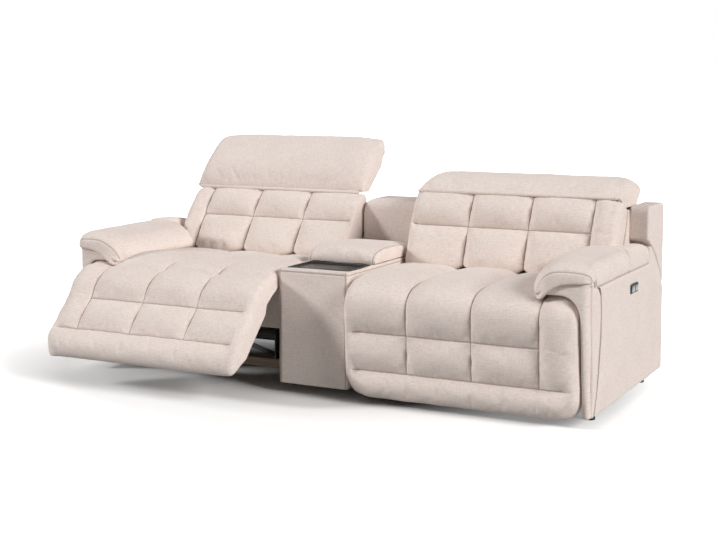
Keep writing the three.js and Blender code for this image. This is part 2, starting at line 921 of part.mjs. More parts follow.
function footrestCushion() {
  const height = footrest_top - footrest_bottom;
  const path = footrest_skin_shares.map(([down, inwards]) => [
    -seat_nose_forward + down * footrest_lean + inwards * footrest_bottom_round,
    footrest_top - down * height,
  ]);
  const [upper, lower] = footrest_seam_shares;
  return quilted({
    path,
    shares: footrest_skin_shares.map(([down]) => down),
    rows: [-upper, upper, lower, 1],
    back: () => [[-footrest_back_forward, footrest_bottom], [-footrest_back_forward, footrest_top]],
    stations: seat_stations,
    first: [-1, 0],
    last: [0, -1],
    inward: () => [1, 0],
    crown: tuft_crown,
    fall: seat_side_fall,
  });
}

const footrest_board_front = -footrest_back_forward + fit_gap;
const footrest_board_rear = footrest_board_front + footrest_board_thickness;

function footrestBoard() {
  return box(
    seat_inner_x + footrest_board_margin,
    seat_outer_x - footrest_board_margin,
    footrest_board_front,
    footrest_board_rear,
    footrest_bottom + footrest_board_margin,
    footrest_top - footrest_board_margin,
  );
}

// Linkage. Each layer lies further in from the side plate, on both sides of the seat.

const plate_layer = [plate_offset, plate_offset + plate_thickness];
const crank_layer = [plate_layer[0] - linkage_gap - crank_thickness, plate_layer[0] - linkage_gap];
const pushrod_layer = [crank_layer[0] - linkage_gap - pushrod_thickness, crank_layer[0] - linkage_gap];
const lug_layer = [
  pushrod_layer[0] - linkage_gap - footrest_bracket_thickness,
  pushrod_layer[0] - linkage_gap,
];

// The x range of a layer on the console side (-1) or on the arm side (+1).
function layerX(layer, side) {
  const ends = layer.map((offset) => seat_centre_x + side * offset);
  return ends.sort((a, b) => a - b);
}

// The knee between crank and pushrod when the footrest is shut.
function kneePoint() {
  const [y0, z0] = crank_axis;
  const [dy, dz] = [pushrod_eye[0] - y0, pushrod_eye[1] - z0];
  const span = Math.hypot(dy, dz);
  const along = (crank_length ** 2 - pushrod_length ** 2 + span ** 2) / (2 * span);
  const off = Math.sqrt(crank_length ** 2 - along ** 2);
  return [y0 + (along * dy - off * dz) / span, z0 + (along * dz + off * dy) / span];
}

const knee = kneePoint();

function footrestBracket() {
  const strap_front = footrest_board_rear + fit_gap;
  const strap = box(
    seat_centre_x - lug_layer[1],
    seat_centre_x + lug_layer[1],
    strap_front,
    strap_front + footrest_bracket_thickness,
    footrest_strap_bottom,
    footrest_strap_top,
  );
  const lugs = [-1, 1].flatMap((side) => {
    const [x0, x1] = layerX(lug_layer, side);
    const reach = linkage_gap + pushrod_thickness + bearing_gap;
    const pin_x = side < 0 ? [x0 - reach, x1] : [x0, x1 + reach];
    const [low, high] = [pushrod_eye[1] - link_half_width, pushrod_eye[1] + link_half_width];
    return [
      box(x0, x1, strap_front, pushrod_eye[0], low, high),
      barX(pushrod_eye, link_half_width, x0, x1),
      barX(pushrod_eye, pin_radius, ...pin_x),
    ];
  });
  return union(strap, ...lugs);
}

function driveCrank() {
  const arms = [-1, 1].flatMap((side) => {
    const [x0, x1] = layerX(crank_layer, side);
    const reach = linkage_gap + pushrod_thickness + bearing_gap;
    const pin_x = side < 0 ? [x0, x1 + reach] : [x0 - reach, x1];
    return [linkBar(crank_axis, knee, x0, x1), barX(knee, pin_radius, ...pin_x)];
  });
  const tube_x = layerX([-plate_layer[1], plate_layer[1]], 1);
  return union(barX(crank_axis, torque_tube_radius, ...tube_x), ...arms);
}

function pushrod(side) {
  const [x0, x1] = layerX(pushrod_layer, side);
  const [c0, c1] = [x0 - cut_overrun, x1 + cut_overrun];
  return subtract(
    linkBar(pushrod_eye, knee, x0, x1, link_half_width),
    barX(pushrod_eye, pin_radius + bearing_gap, c0, c1),
    barX(knee, pin_hole_radius, c0, c1),
  );
}

// The mechanism's side plate in (y, z): shares of its length from the front and of its height.
const plate_shares = [
  [0, 0.068],
  [0.08, 0.068],
  [0.5, 0],
  [0.72, 0],
  [1, 0.068],
  [1, 0.25],
  [0.72, 0.42],
  [0.66, 1],
  [0.12, 1],
  [0, 0.5],
];

function mechanismFrame() {
  const [front, rear] = [-base_front_forward + fit_gap, crossbar_rear + plate_crossbar_size];
  const seat_height = base_top + fit_gap;
  const low = (seat_height - plate_shares[0][1] * plate_top) / (1 - plate_shares[0][1]);
  const outline = plate_shares.map(([back, up]) => [
    front + back * (rear - front),
    low + up * (plate_top - low),
  ]);
  const plates = [-1, 1].map((side) => prismX(outline, ...layerX(plate_layer, side)));
  const ends = [console_width / 2 + fit_gap, arm_inner_x - fit_gap];
  const bars = [crossbar_front, crossbar_rear].map((y) =>
    box(...ends, y, y + plate_crossbar_size, seat_height, seat_height + plate_crossbar_size),
  );
  const hole_radius = torque_tube_radius + bearing_gap;
  const holes = [crank_axis, recline_axis].map((axis) => barX(axis, hole_radius, 0, half_width));
  return subtract(union(...plates, ...bars), ...holes);
}

function baseFrame() {
  const [x0, x1] = [console_width / 2 + fit_gap, arm_inner_x - fit_gap];
  const [y0, y1] = [-base_front_forward, base_rear];
  const wide = base_rail_width;
  const ring = subtract(
    box(x0, x1, y0, y1, base_rail_bottom, base_top),
    box(x0 + wide, x1 - wide, y0 + wide, y1 - wide, base_rail_bottom - cut_overrun, base_top + cut_overrun),
  );
  const foot_top = base_rail_bottom + foot_radius / 2;
  const feet = [x0 + foot_inset, x1 - foot_inset].flatMap((x) =>
    [y0 + foot_front_inset, y1 - foot_inset].map((y) => barZ(x, y, foot_radius, 0, foot_top)),
  );
  return union(ring, ...feet);
}

// Motors. Each head carries the tube that it turns, and its can ends on a crossbar.

function motorAt(axis, can_z, can_end, foot) {
  const half = motor_width / 2;
  const [x0, x1] = [seat_centre_x - half, seat_centre_x + half];
  const [y0, y1] = [axis[0] - motor_head_length / 2, axis[0] + motor_head_length / 2];
  const head = box(x0, x1, y0, y1, axis[1] - motor_head_height, axis[1] + link_eye_radius);
  const can = barY(seat_centre_x, can_z, motor_can_radius, y1 - fit_gap, can_end);
  const body = foot ? union(head, can, foot) : union(head, can);
  return subtract(body, barX(axis, torque_tube_radius + bearing_gap, 0, half_width));
}

function driveMotor() {
  const half = motor_leg_width / 2;
  const bar_top = base_top + fit_gap + plate_crossbar_size;
  const can_z = crank_axis_height - motor_head_height / 4;
  const leg = box(
    seat_centre_x - half,
    seat_centre_x + half,
    crossbar_front,
    crossbar_front + plate_crossbar_size,
    bar_top + fit_gap,
    can_z,
  );
  return motorAt(crank_axis, can_z, crossbar_front + plate_crossbar_size, leg);
}

function reclineMotor() {
  return motorAt(recline_axis, base_top + fit_gap + plate_crossbar_size / 2, crossbar_rear - fit_gap);
}

// Back. Its pad, board and shell lie on planes that all lean alike.

const back_inner_x = seat_inner_x + back_inner_inset;
const back_outer_x = seat_outer_x - back_outer_inset;
const back_run = back_top_y - back_foot_y;
const back_rise = back_top_height - back_bottom_height;
const back_slant = Math.hypot(back_run, back_rise);

// The y of the leaning plane at a height, a distance behind the skin.
function backPlaneY(z, behind) {
  return back_foot_y + ((z - back_bottom_height) * back_run) / back_rise + (behind * back_slant) / back_rise;
}

function backPlanePoint(z, behind) {
  return [backPlaneY(z, behind), z];
}

const back_seam_share = 0.557;

// The back's skin, from its tuck over the seat to its top seam: shares of its run and rise.
const back_skin_shares = [
  [0.26, 0],
  [0.05, 0.015],
  [0, 0.07],
  [0.08, 0.18],
  [0.2, 0.31],
  [0.32, 0.44],
  [0.434, back_seam_share],
  [0.55, 0.66],
  [0.69, 0.77],
  [0.85, 0.89],
  [0.985, 0.99],
];

const back_pad_top = shell_top;

function backCushion() {
  const path = back_skin_shares.map(([back, up]) => [
    back_foot_y + back * back_run,
    back_bottom_height + up * back_rise,
  ]);
  const slope = back_top_height - back_pad_top;
  const stations = stationsAcross(back_inner_x, back_outer_x, {
    inner: [inner_round_width, back_inner_round_depth],
    outer: [inner_round_width, back_outer_round_depth],
  });
  return quilted({
    path,
    shares: back_skin_shares.map(([, up]) => up),
    rows: [0, back_seam_share, 1],
    back: () => [
      [back_top_y + slope, back_pad_top],
      backPlanePoint(back_pad_top, back_thickness),
      backPlanePoint(back_bottom_height, back_thickness),
    ],
    stations,
    first: [0, -1],
    last: [-back_rise / back_slant, back_run / back_slant],
    inward: (up) => [Math.cos((up * Math.PI) / 4), -Math.sin((up * Math.PI) / 4)],
    crown: tuft_crown,
  });
}

const back_board_front = back_thickness + fit_gap;
const back_board_rear = back_board_front + back_board_thickness;

function backFrame() {
  const board_top = back_pad_top + fit_gap + hinge_strap_thickness / 2;
  const board = prismX(
    [
      backPlanePoint(back_board_bottom, back_board_rear),
      backPlanePoint(board_top, back_board_rear),
      backPlanePoint(board_top, back_board_front),
      backPlanePoint(back_board_bottom, back_board_front),
    ],
    back_inner_x + shell_side_margin,
    back_outer_x - shell_side_margin,
  );
  const knee_z = (back_board_bottom + recline_axis_height) / 2;
  const knee_y = seat_rear + moving_gap;
  const half = back_arm_width / 2;
  const arm_top_z = (back_board_bottom + back_pad_top) / 2;
  const arm_outline = [
    [recline_axis[0] - half, recline_axis[1]],
    [recline_axis[0], recline_axis[1] - half],
    [recline_axis[0] + half, recline_axis[1]],
    [knee_y + back_arm_width, knee_z],
    backPlanePoint(arm_top_z, back_board_rear),
    backPlanePoint(arm_top_z, back_board_front),
    backPlanePoint(back_board_bottom, back_board_front),
    [knee_y, knee_z],
  ];
  // Two straps run from the board's top edge along the pad's slope to the barrels of the headrest's hinge.
  const foot_z = back_pad_top + fit_gap;
  const straps = [-1, 1].map((side) =>
    hingeStrap(side, fit_gap, backPlaneY(back_pad_top, back_board_rear), foot_z + hinge_strap_thickness),
  );
  const barrels = [-1, 1].map((side) => barX(headrest_axis, hinge_barrel_radius, ...hingeStrapX(side)));
  const layer = [back_arm_offset, back_arm_offset + back_arm_thickness];
  const arms = [-1, 1].map((side) => prismX(arm_outline, ...layerX(layer, side)));
  const tube = barX(recline_axis, torque_tube_radius, ...layerX([-plate_layer[1], plate_layer[1]], 1));
  return union(board, tube, ...arms, ...straps, ...barrels);
}

// A strap in two flats: one down the slope behind the hinge line, one level, meeting at a bend.
function hingeStrap(side, above, level_end, level_top) {
  const over = (height) => headrest_axis.map((value) => value + height * Math.SQRT1_2);
  const bend = (z, height) => [headrest_axis[0] + headrest_axis[1] - z + height * Math.SQRT2, z];
  const [low, high] = [above, above + hinge_strap_thickness];
  const level_bottom = level_top - hinge_strap_thickness;
  const outline = [
    over(low),
    bend(level_bottom, low),
    [level_end, level_bottom],
    [level_end, level_top],
    bend(level_top, high),
    over(high),
  ];
  return prismX(outline, ...hingeStrapX(side));
}

function hingeStrapX(side) {
  return layerX([hinge_strap_offset, hinge_strap_offset + hinge_strap_width], side);
}

const wing_inner_x = back_outer_x + wing_seat_gap;
const shell_outer_x = wing_inner_x - fit_gap;
const shell_front = back_board_rear + fit_gap;

function backShell() {
  const inner_x = seat_inner_x + shell_side_margin;
  const low = back_board_bottom;
  const outside = prismX(
    [
      backPlanePoint(low, shell_front),
      [shell_rear, shell_rear_bottom],
      [shell_rear, shell_top],
      backPlanePoint(shell_top, shell_front),
    ],
    inner_x,
    shell_outer_x,
  );
  const roof = shell_top - shell_wall;
  const inside = prismX(
    [
      [backPlaneY(low, 0), shell_rear_bottom - cut_overrun],
      [shell_rear - shell_wall, shell_rear_bottom - cut_overrun],
      [shell_rear - shell_wall, roof],
      [backPlaneY(low, 0), roof],
    ],
    inner_x + shell_wall,
    shell_outer_x - shell_wall,
  );
  return subtract(outside, inside);
}

const wing_sweep_steps = 7;

function backWing() {
  const radius = arm_sweep_radius + moving_gap;
  const corner = wing_corner_radius;
  const outline = [
    ...sweepArc(radius, wing_front, wing_rear, wing_sweep_steps),
    ...arc([wing_rear - corner, wing_top - corner], corner, 0, 90, round_sides / 4),
    ...arc([wing_front + corner, wing_top - corner], corner, 90, 180, round_sides / 4),
  ];
  return prismX(outline, wing_inner_x, half_width);
}

// Headrest, drawn lowered: shares of its length back from the top seam and of its rise over it.
const headrest_skin_shares = [
  [0.0082, 0.062],
  [0.06, 0.28],
  [0.19, 0.65],
  [0.34, 0.9],
  [0.49, 1],
  [0.66, 0.965],
  [0.81, 0.77],
  [0.94, 0.47],
  [0.99, 0.16],
  [1, -0.1],
  [0.955, -0.5],
  [0.875, -0.72],
];
const headrest_station_shares = [0, 0.006, 0.025, 0.07, 0.2, 0.4, 0.6, 0.8, 0.93, 0.975, 0.994, 1];

function headrestSlopeY(z) {
  return back_top_y + (back_top_height - z) + headrest_slope_gap * Math.SQRT2;
}

function headrestCushion() {
  const inner = seat_inner_x + headrest_side_margin;
  const outer = back_outer_x - headrest_side_margin / 2;
  const [seam_y, seam_z] = headrest_axis;
  const length = headrest_length;
  const path = headrest_skin_shares.map(([along, up]) => [
    seam_y + along * length,
    seam_z + up * headrest_rise,
  ]);
  const normals = pathNormals(path, [-1, 1].map((n) => n * Math.SQRT1_2), [0, -1]);
  const stations = headrest_station_shares.map((share) => {
    const x = inner + share * (outer - inner);
    const end = Math.min(x - inner, outer - x);
    return {
      x,
      inset: drawnIn(end, inner_round_width, inner_round_depth) / 2,
      pull: drawnIn(end, headrest_end_round_width, headrest_end_round_depth),
    };
  });
  return lofted(stations, ({ inset, pull }) => {
    const keep = 1 - pull / length;
    const drawn = (y) => seam_y + (y - seam_y) * keep;
    const skin = path.map(([y, z], i) => {
      const out = i === 0 ? 0 : -inset;
      return [drawn(y + normals[i][0] * out), Math.max(headrest_underside, z + normals[i][1] * out)];
    });
    const tail = drawn(seam_y + headrest_skin_shares.at(-1)[0] * length - headrest_slope_gap);
    return [...skin, [tail, headrest_underside], [headrestSlopeY(headrest_underside), headrest_underside]];
  });
}

function headrestBoard() {
  const inner = seat_inner_x + headrest_end_round_depth;
  const outer = back_outer_x - headrest_end_round_depth;
  const front = backPlaneY(shell_top, shell_front) + headrest_board_margin;
  const rear = headrest_axis[0] + headrest_length - headrest_end_round_width;
  const top = headrest_underside - fit_gap;
  const board = box(inner, outer, front, rear, top - headrest_board_thickness, top);
  const above = headrest_slope_gap - fit_gap - hinge_strap_thickness;
  const straps = [-1, 1].map((side) =>
    hingeStrap(side, above, front + headrest_board_margin, top),
  );
  return union(board, ...straps);
}

// Switch

function switchPocket(clearance) {
  return box(
    half_width - switch_pocket_depth - clearance,
    half_width + cut_overrun,
    switch_front_y - clearance,
    switch_front_y + switch_length + clearance,
    switch_bottom_height - clearance,
    switch_bottom_height + switch_height + clearance,
  );
}

const switch_face_x = half_width + switch_bezel_proud;
const switch_button_x = half_width - switch_pocket_depth + switch_rim;

function switchButtonRange(index) {
  const inside = switch_length - 3 * switch_rim;
  const start = switch_front_y + switch_rim + index * (inside / 2 + switch_rim);
  return [start, start + inside / 2];
}

function switchBezel() {
  const body = box(
    half_width - switch_pocket_depth,
    switch_face_x,
    switch_front_y,
    switch_front_y + switch_length,
    switch_bottom_height,
    switch_bottom_height + switch_height,
  );
  const low = switch_bottom_height + switch_rim;
  const high = switch_bottom_height + switch_height - switch_rim;
  const wells = [0, 1].map((index) => {
    const [y0, y1] = switchButtonRange(index);
    const floor_x = switch_button_x - switch_button_travel - switch_button_gap;
    return box(floor_x, switch_face_x + cut_overrun, y0, y1, low, high);
  });
  return subtract(body, ...wells);
}

function switchButton(index) {
  const [y0, y1] = switchButtonRange(index);
  const gap = switch_button_gap;
  const low = switch_bottom_height + switch_rim + gap;
  const high = switch_bottom_height + switch_height - switch_rim - gap;
  return box(switch_button_x, switch_face_x + switch_button_proud, y0 + gap, y1 - gap, low, high);
}

// Assembly

const sofa = new THREE.Group();

function addPiece(name, geometry, finish) {
  const mesh = new THREE.Mesh(geometry, new THREE.MeshStandardMaterial(finish));
  mesh.name = name;
  sofa.add(mesh);
}

addPiece("console_body", consoleBody(), woven);
addPiece("console_foot", consoleFoot(), black_plastic);
addPiece("console_tray", consoleTray(), gloss_black);
addPiece("console_bin_liner", consoleBinLiner(), black_plastic);
addPiece("console_lid_board", consoleLidBoard(), timber);
addPiece("console_lid_pad", consoleLidPad(), woven);
addPiece("console_lid_hinge", consoleLidHinge(), steel);
addPiece("console_back_panel", consoleBackPanel(), woven);

// Turns that carry a piece of one seat from shut and upright to how that seat stands, in order.
function addSeat(prefix, place, footrest_angle, lean_angle, headrest_angle) {
  const footrest = [[footrest_axis, footrest_angle]];
  const crank = [[crank_axis, footrest_angle * crank_turn_ratio]];
  const rod = [[pushrod_eye, -footrest_angle * pushrod_turn_ratio], ...footrest];
  const back = [[recline_axis, lean_angle]];
  const head = [[headrest_axis, headrest_angle], ...back];
  const pieces = [
    ["base_frame", baseFrame(), timber, []],
    ["mechanism_frame", mechanismFrame(), steel, []],
    ["drive_crank", driveCrank(), steel, crank],
    ["pushrod_inner", pushrod(-1), steel, rod],
    ["pushrod_outer", pushrod(1), steel, rod],
    ["footrest_bracket", footrestBracket(), steel, footrest],
    ["footrest_board", footrestBoard(), timber, footrest],
    ["footrest_cushion", footrestCushion(), woven, footrest],
    ["drive_motor", driveMotor(), grey_plastic, []],
    ["recline_motor", reclineMotor(), grey_plastic, []],
    ["seat_deck", seatDeck(), timber, []],
    ["seat_fascia", seatFascia(), woven, []],
    ["seat_cushion", seatCushion(), woven, []],
    ["back_frame", backFrame(), timber, back],
    ["back_cushion", backCushion(), woven, back],
    ["back_shell", backShell(), woven, back],
    ["back_wing", backWing(), woven, back],
    ["headrest_board", headrestBoard(), timber, head],
    ["headrest_cushion", headrestCushion(), woven, head],
    ["arm_side_panel", armSidePanel(), woven, []],
    ["arm_front_panel", armFrontPanel(), woven, []],
    ["arm_board", armBoard(), timber, []],
    ["arm_pad", armPad(), woven, []],
    ["switch_bezel", switchBezel(), black_plastic, []],
    ["switch_button_front", switchButton(0), chrome, []],
    ["switch_button_rear", switchButton(1), chrome, []],
  ];
  for (const [name, geometry, finish, turns] of pieces) {
    const posed = turns.reduce((piece, [axis, degrees]) => turned(piece, axis, degrees), geometry);
    addPiece(`${prefix}_${name}`, place(posed), finish);
  }
}

addSeat("right", (piece) => piece, 0, 0, 0);
addSeat("left", mirrored, footrest_open_angle, back_lean_angle, -headrest_raise_angle);

export default sofa;
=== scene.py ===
import json
import math

import bmesh
import bpy
import numpy as np
from bpy.props import FloatProperty, FloatVectorProperty, IntProperty, PointerProperty
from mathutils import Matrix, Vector, noise
from mathutils.bvhtree import BVHTree


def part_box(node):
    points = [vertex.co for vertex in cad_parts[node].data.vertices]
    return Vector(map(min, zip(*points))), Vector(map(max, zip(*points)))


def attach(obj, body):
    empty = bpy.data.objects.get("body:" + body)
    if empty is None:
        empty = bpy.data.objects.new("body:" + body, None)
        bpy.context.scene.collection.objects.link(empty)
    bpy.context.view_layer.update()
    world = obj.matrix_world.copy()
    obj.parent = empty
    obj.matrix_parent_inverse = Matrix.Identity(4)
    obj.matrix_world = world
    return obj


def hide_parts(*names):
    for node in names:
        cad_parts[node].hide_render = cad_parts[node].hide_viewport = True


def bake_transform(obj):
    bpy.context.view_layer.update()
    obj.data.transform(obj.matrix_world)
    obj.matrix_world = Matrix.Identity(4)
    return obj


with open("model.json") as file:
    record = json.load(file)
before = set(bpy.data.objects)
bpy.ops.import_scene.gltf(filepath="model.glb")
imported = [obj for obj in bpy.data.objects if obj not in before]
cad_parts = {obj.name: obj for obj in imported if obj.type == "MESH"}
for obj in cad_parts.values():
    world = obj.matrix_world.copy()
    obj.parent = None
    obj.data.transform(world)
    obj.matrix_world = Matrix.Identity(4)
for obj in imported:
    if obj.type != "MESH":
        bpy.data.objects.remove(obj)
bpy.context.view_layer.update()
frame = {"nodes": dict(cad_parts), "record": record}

bl_info = {
    "name": "Reclining sofa with centre console",
    "version": (1, 0, 0),
    "blender": (4, 5, 0),
    "location": "View3D > Sidebar > Sofa",
    "description": "Dresses the sofa's frame in quilted upholstery, trim and finishes",
    "category": "Object",
}

# Metres, +Z up, the front faces -Y. Each seat is drawn shut and upright on the +X side.
# The other seat is its mirror image, turned to the pose in which it stands at rest.


def linear(hex_colour):
    """An sRGB hex value as the linear colour that a shader takes."""
    channels = [int(hex_colour[i : i + 2], 16) / 255 for i in (0, 2, 4)]
    toned = [c / 12.92 if c <= 0.04045 else ((c + 0.055) / 1.055) ** 2.4 for c in channels]
    return (*toned, 1.0)


def colour_property(name, description, hex_colour):
    value = linear(hex_colour)
    return FloatVectorProperty(
        name=name, description=description, default=value, subtype="COLOR", size=4, min=0.0, max=1.0
    )


def length_property(name, description, value):
    return FloatProperty(name=name, description=description, default=value, unit="LENGTH", precision=4)


class SofaSizes(bpy.types.PropertyGroup):
    """Sizes of the upholstery."""

    weave_step: length_property("Grid step", "Spacing of the pads' mesh along the cloth", 0.0085)
    tuft_crown: length_property("Tuft crown", "How far a sewn cell stands over its seams", 0.036)
    seam_softness: length_property("Seam softness", "How far from a seam the filling rises", 0.036)
    seam_crease: length_property("Seam crease", "Depth of the narrow crease on a seam", 0.0026)
    seam_reach: length_property("Seam reach", "How far short of a pad's end a cross seam stops", 0.034)
    panel_voxel: length_property("Panel voxel", "Mesh size of the softened panels", 0.005)
    stitch_pitch: length_property("Stitch pitch", "Distance from one stitch to the next", 0.0052)
    stitch_length: length_property("Stitch length", "Length of the thread that shows in a stitch", 0.0036)
    thread_radius: length_property("Thread radius", "Half the thickness of the sewing thread", 0.00045)
    cloth_frames: IntProperty(name="Cloth frames", description="Steps of the swelling", default=20, min=1)
    cloth_pressure: FloatProperty(name="Cloth pressure", description="Pressure in the pads", default=4.0)


class SofaColours(bpy.types.PropertyGroup):
    """Colours of the finishes."""

    yarn_light: colour_property("Light yarn", "Palest yarn of the woven cover", "efe4dc")
    yarn_mid: colour_property("Middle yarn", "Main yarn of the woven cover", "e5d7cf")
    yarn_dark: colour_property("Dark yarn", "Darkest yarn of the woven cover", "d2c1b6")
    thread: colour_property("Sewing thread", "Thread of the seams", "cdbbb0")
    # Painted shade: this darker colour is laid on the cloth along its seams, where shade falls in the
    # crease.
    crease: colour_property("Crease", "Shade inside a sewn seam", "8a766b")
    beech: colour_property("Beech", "Rails of the base", "7d6c5b")
    plywood: colour_property("Plywood", "Decks and boards", "94826b")
    steel: colour_property("Powder coat", "Coated steel of the mechanism", "3b3c3f")
    motor: colour_property("Motor housing", "Moulded motor housings", "37373a")
    tray: colour_property("Tray", "Gloss moulding of the tray", "1a1817")
    liner: colour_property("Liner", "Satin black mouldings", "1b1a1b")
    chrome: colour_property("Chrome", "Plated switch buttons", "4f5257")
    floor: colour_property("Floor", "Studio floor", "f4f3f2")


def sizes():
    return bpy.context.scene.sofa_sizes


def colours():
    return bpy.context.scene.sofa_colours


# Places taken from the frame. An axis is the (y, z) of a line along x.

JOINTS = {joint["name"]: joint for joint in frame["record"]["behaviour"]["joints"]}


def joint_axis(name):
    return JOINTS[name]["pos_m"][1], JOINTS[name]["pos_m"][2]


FOOTREST_AXIS = joint_axis("right_footrest_hinge")
RECLINE_AXIS = joint_axis("right_back_recline")
HEADREST_AXIS = joint_axis("right_headrest_tilt")
LEFT_OPEN = -JOINTS["left_footrest_hinge"]["range_deg"][0]
LEFT_LEAN = -JOINTS["left_back_recline"]["range_deg"][0]
LEFT_RAISE = JOINTS["left_headrest_tilt"]["range_deg"][1]
SIDES = (("right", 1), ("left", -1))
BACK_TURNS = [(RECLINE_AXIS, LEFT_LEAN)]
HEADREST_TURNS = [(HEADREST_AXIS, -LEFT_RAISE), (RECLINE_AXIS, LEFT_LEAN)]


def span(name):
    """The x at which a node starts and ends."""
    low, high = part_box(name)
    return low.x, high.x


SEAT_INNER, SEAT_OUTER = span("right_seat_cushion")
HALF_WIDTH = span("right_arm_side_panel")[1]
# The three narrow channels of a seat; the fourth, beside the arm, takes the rest.
CHANNEL = 0.249
SEAMS = [SEAT_INNER + count * CHANNEL for count in (1, 2, 3)]


def turned(points, axis, degrees):
    """Points turned about an axis along x. A positive angle opens, leans back or lowers."""
    angle = math.radians(degrees)
    out = np.array(points, float)
    dy, dz = out[:, 1] - axis[0], out[:, 2] - axis[1]
    out[:, 1] = axis[0] + dy * math.cos(angle) + dz * math.sin(angle)
    out[:, 2] = axis[1] - dy * math.sin(angle) + dz * math.cos(angle)
    return out


# Mesh helpers


def placed(name, data):
    """Puts a mesh, light or camera in the scene as an object of the same name."""
    data.name = name
    made = bpy.data.objects.new(name, data)
    bpy.context.scene.collection.objects.link(made)
    return made


def mesh_object(name, points, faces):
    """A piece from points and faces."""
    mesh = bpy.data.meshes.new(name)
    mesh.from_pydata([tuple(p) for p in points], [], faces)
    mesh.validate()
    return placed(name, mesh)


def rework(mesh, change):
    """Opens a mesh for editing, lets a function change it and stores it again."""
    work = bmesh.new()
    work.from_mesh(mesh)
    change(work)
    work.to_mesh(mesh)
    work.free()


def node_copy(name, source):
    """A copy of a node's solid, with its doubled vertices joined."""
    piece = placed(name, frame["nodes"][source].data.copy())
    rework(piece.data, lambda work: bmesh.ops.remove_doubles(work, verts=work.verts, dist=2e-5))
    return piece


def adjust(thing, **settings):
    """Sets several properties of one thing."""
    for name, value in settings.items():
        setattr(thing, name, value)


def values_of(items, field, width=1, kind=float):
    """One field of all a mesh's vertices, edges, faces or corners, as an array."""
    flat = np.zeros(len(items) * width, kind)
    items.foreach_get(field, flat)
    return flat.reshape(-1, width) if width > 1 else flat


def points_of(piece):
    return values_of(piece.data.vertices, "co", 3)


def normals_of(piece):
    return values_of(piece.data.vertices, "normal", 3)


def set_points(piece, points):
    piece.data.vertices.foreach_set("co", np.asarray(points, np.float32).ravel())
    piece.data.update()


def evaluated_mesh(piece):
    graph = bpy.context.evaluated_depsgraph_get()
    return bpy.data.meshes.new_from_object(piece.evaluated_get(graph), depsgraph=graph)


def settle(piece):
    """Replaces the piece's mesh with its evaluated one and drops its modifiers."""
    mesh, old = evaluated_mesh(piece), piece.data
    piece.modifiers.clear()
    piece.data = mesh
    mesh.name = piece.name
    bpy.data.meshes.remove(old)


def smoothed(piece, rounds):
    adjust(piece.modifiers.new("Soften", "SMOOTH"), factor=0.5, iterations=rounds)
    settle(piece)


def lay_weave(piece):
    """Lays the cloth on the piece: metres along the weft and the warp, face by face."""
    mesh = piece.data
    layer = mesh.uv_layers.get("Weave") or mesh.uv_layers.new(name="Weave")
    towards = np.abs(values_of(mesh.polygons, "normal", 3)) * np.array([0.8, 1.0, 1.0])
    dominant = np.repeat(towards.argmax(axis=1), values_of(mesh.polygons, "loop_total", 1, int))
    corners = points_of(piece)[values_of(mesh.loops, "vertex_index", 1, int)]
    rows = np.arange(len(corners))
    weft, warp = (corners[rows, np.array(axes)[dominant]] for axes in ((1, 0, 0), (2, 2, 1)))
    layer.data.foreach_set("uv", np.stack([weft, warp], 1).ravel())


def mirrored_copy(piece, turns=()):
    """The left seat's piece: the mirror image, turned to how that seat stands."""
    made = placed(piece.name.replace("right", "left"), piece.data.copy())
    points = points_of(made)
    points[:, 0] *= -1
    for axis, degrees in turns:
        points = turned(points, axis, degrees)
    set_points(made, points)
    made.data.flip_normals()
    return made


# Seams further off than this don't show.
FAR = 0.03


def mark_seam(piece, distances, layer="Seam"):
    """Stores each vertex's distance from a seam, plus one, for the cover's painted seam shade and groove,
    so that a piece without it shows none.
    """
    attribute = piece.data.attributes.get(layer) or piece.data.attributes.new(layer, "FLOAT", "POINT")
    attribute.data.foreach_set("value", 1 + np.clip(distances, -FAR, FAR).astype(np.float32))


def signed_distance(places, line):
    """How far flat places lie from a line of points, with the side as the sign."""
    line = np.array(line, float)
    best = np.ones(len(places))
    for a, b in zip(line[:-1], line[1:]):
        run = b - a
        t = np.clip(((places - a) @ run) / (run @ run), 0, 1)
        off = places - (a + t[:, None] * run)
        length = np.linalg.norm(off, axis=1)
        side = np.sign(run[0] * off[:, 1] - run[1] * off[:, 0])
        closer = length < np.abs(best)
        best[closer] = (length * side)[closer]
    return best


def bind(piece, body, slot, *nodes, fill=None):
    """Lets a piece ride a body and hides the solids it stands for; its slot and fill are not used."""
    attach(piece, body)
    if nodes:
        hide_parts(*nodes)


def dress(piece, finish):
    piece.data.materials.clear()
    piece.data.materials.append(FINISHES[finish])


def cover(piece):
    """Puts the woven cover on a piece."""
    piece.data.shade_smooth()
    lay_weave(piece)
    dress(piece, "woven_linen_mix")


def moulded(piece, finish):
    """Gives a hard piece its finish, with edges over 50 degrees left sharp."""
    piece.data.shade_smooth()
    piece.data.set_sharp_from_angle(angle=math.radians(50))
    dress(piece, finish)


def undulate(piece, height, wavelength, seed):
    """Small uneven swells such as filling has."""
    points, normals = points_of(piece), normals_of(piece)
    shift = Vector((seed * 3.1, seed * 1.7, seed * 2.3))
    swell = [noise.noise(Vector(p) / wavelength + shift) for p in points]
    set_points(piece, points + normals * (np.array(swell) * height)[:, None])


def spline(control):
    """Points along a smooth curve through the control points, and the length at each control point."""
    control = np.array(control, float)
    padded = np.vstack([2 * control[0] - control[1], control, 2 * control[-1] - control[-2]])
    dense, marks = [control[0]], [0.0]
    for i in range(len(control) - 1):
        a, b, c, d = padded[i : i + 4]
        for t in np.linspace(0, 1, 25)[1:]:
            square, cube = 2 * a - 5 * b + 4 * c - d, 3 * b - a - 3 * c + d
            dense.append(0.5 * (2 * b + (c - a) * t + square * t**2 + cube * t**3))
        run = np.linalg.norm(np.diff(np.array(dense), axis=0), axis=1).sum()
        marks.append(run)
    dense = np.array(dense)
    along = np.concatenate([[0], np.cumsum(np.linalg.norm(np.diff(dense, axis=0), axis=1))])
    return dense, along, np.array(marks)


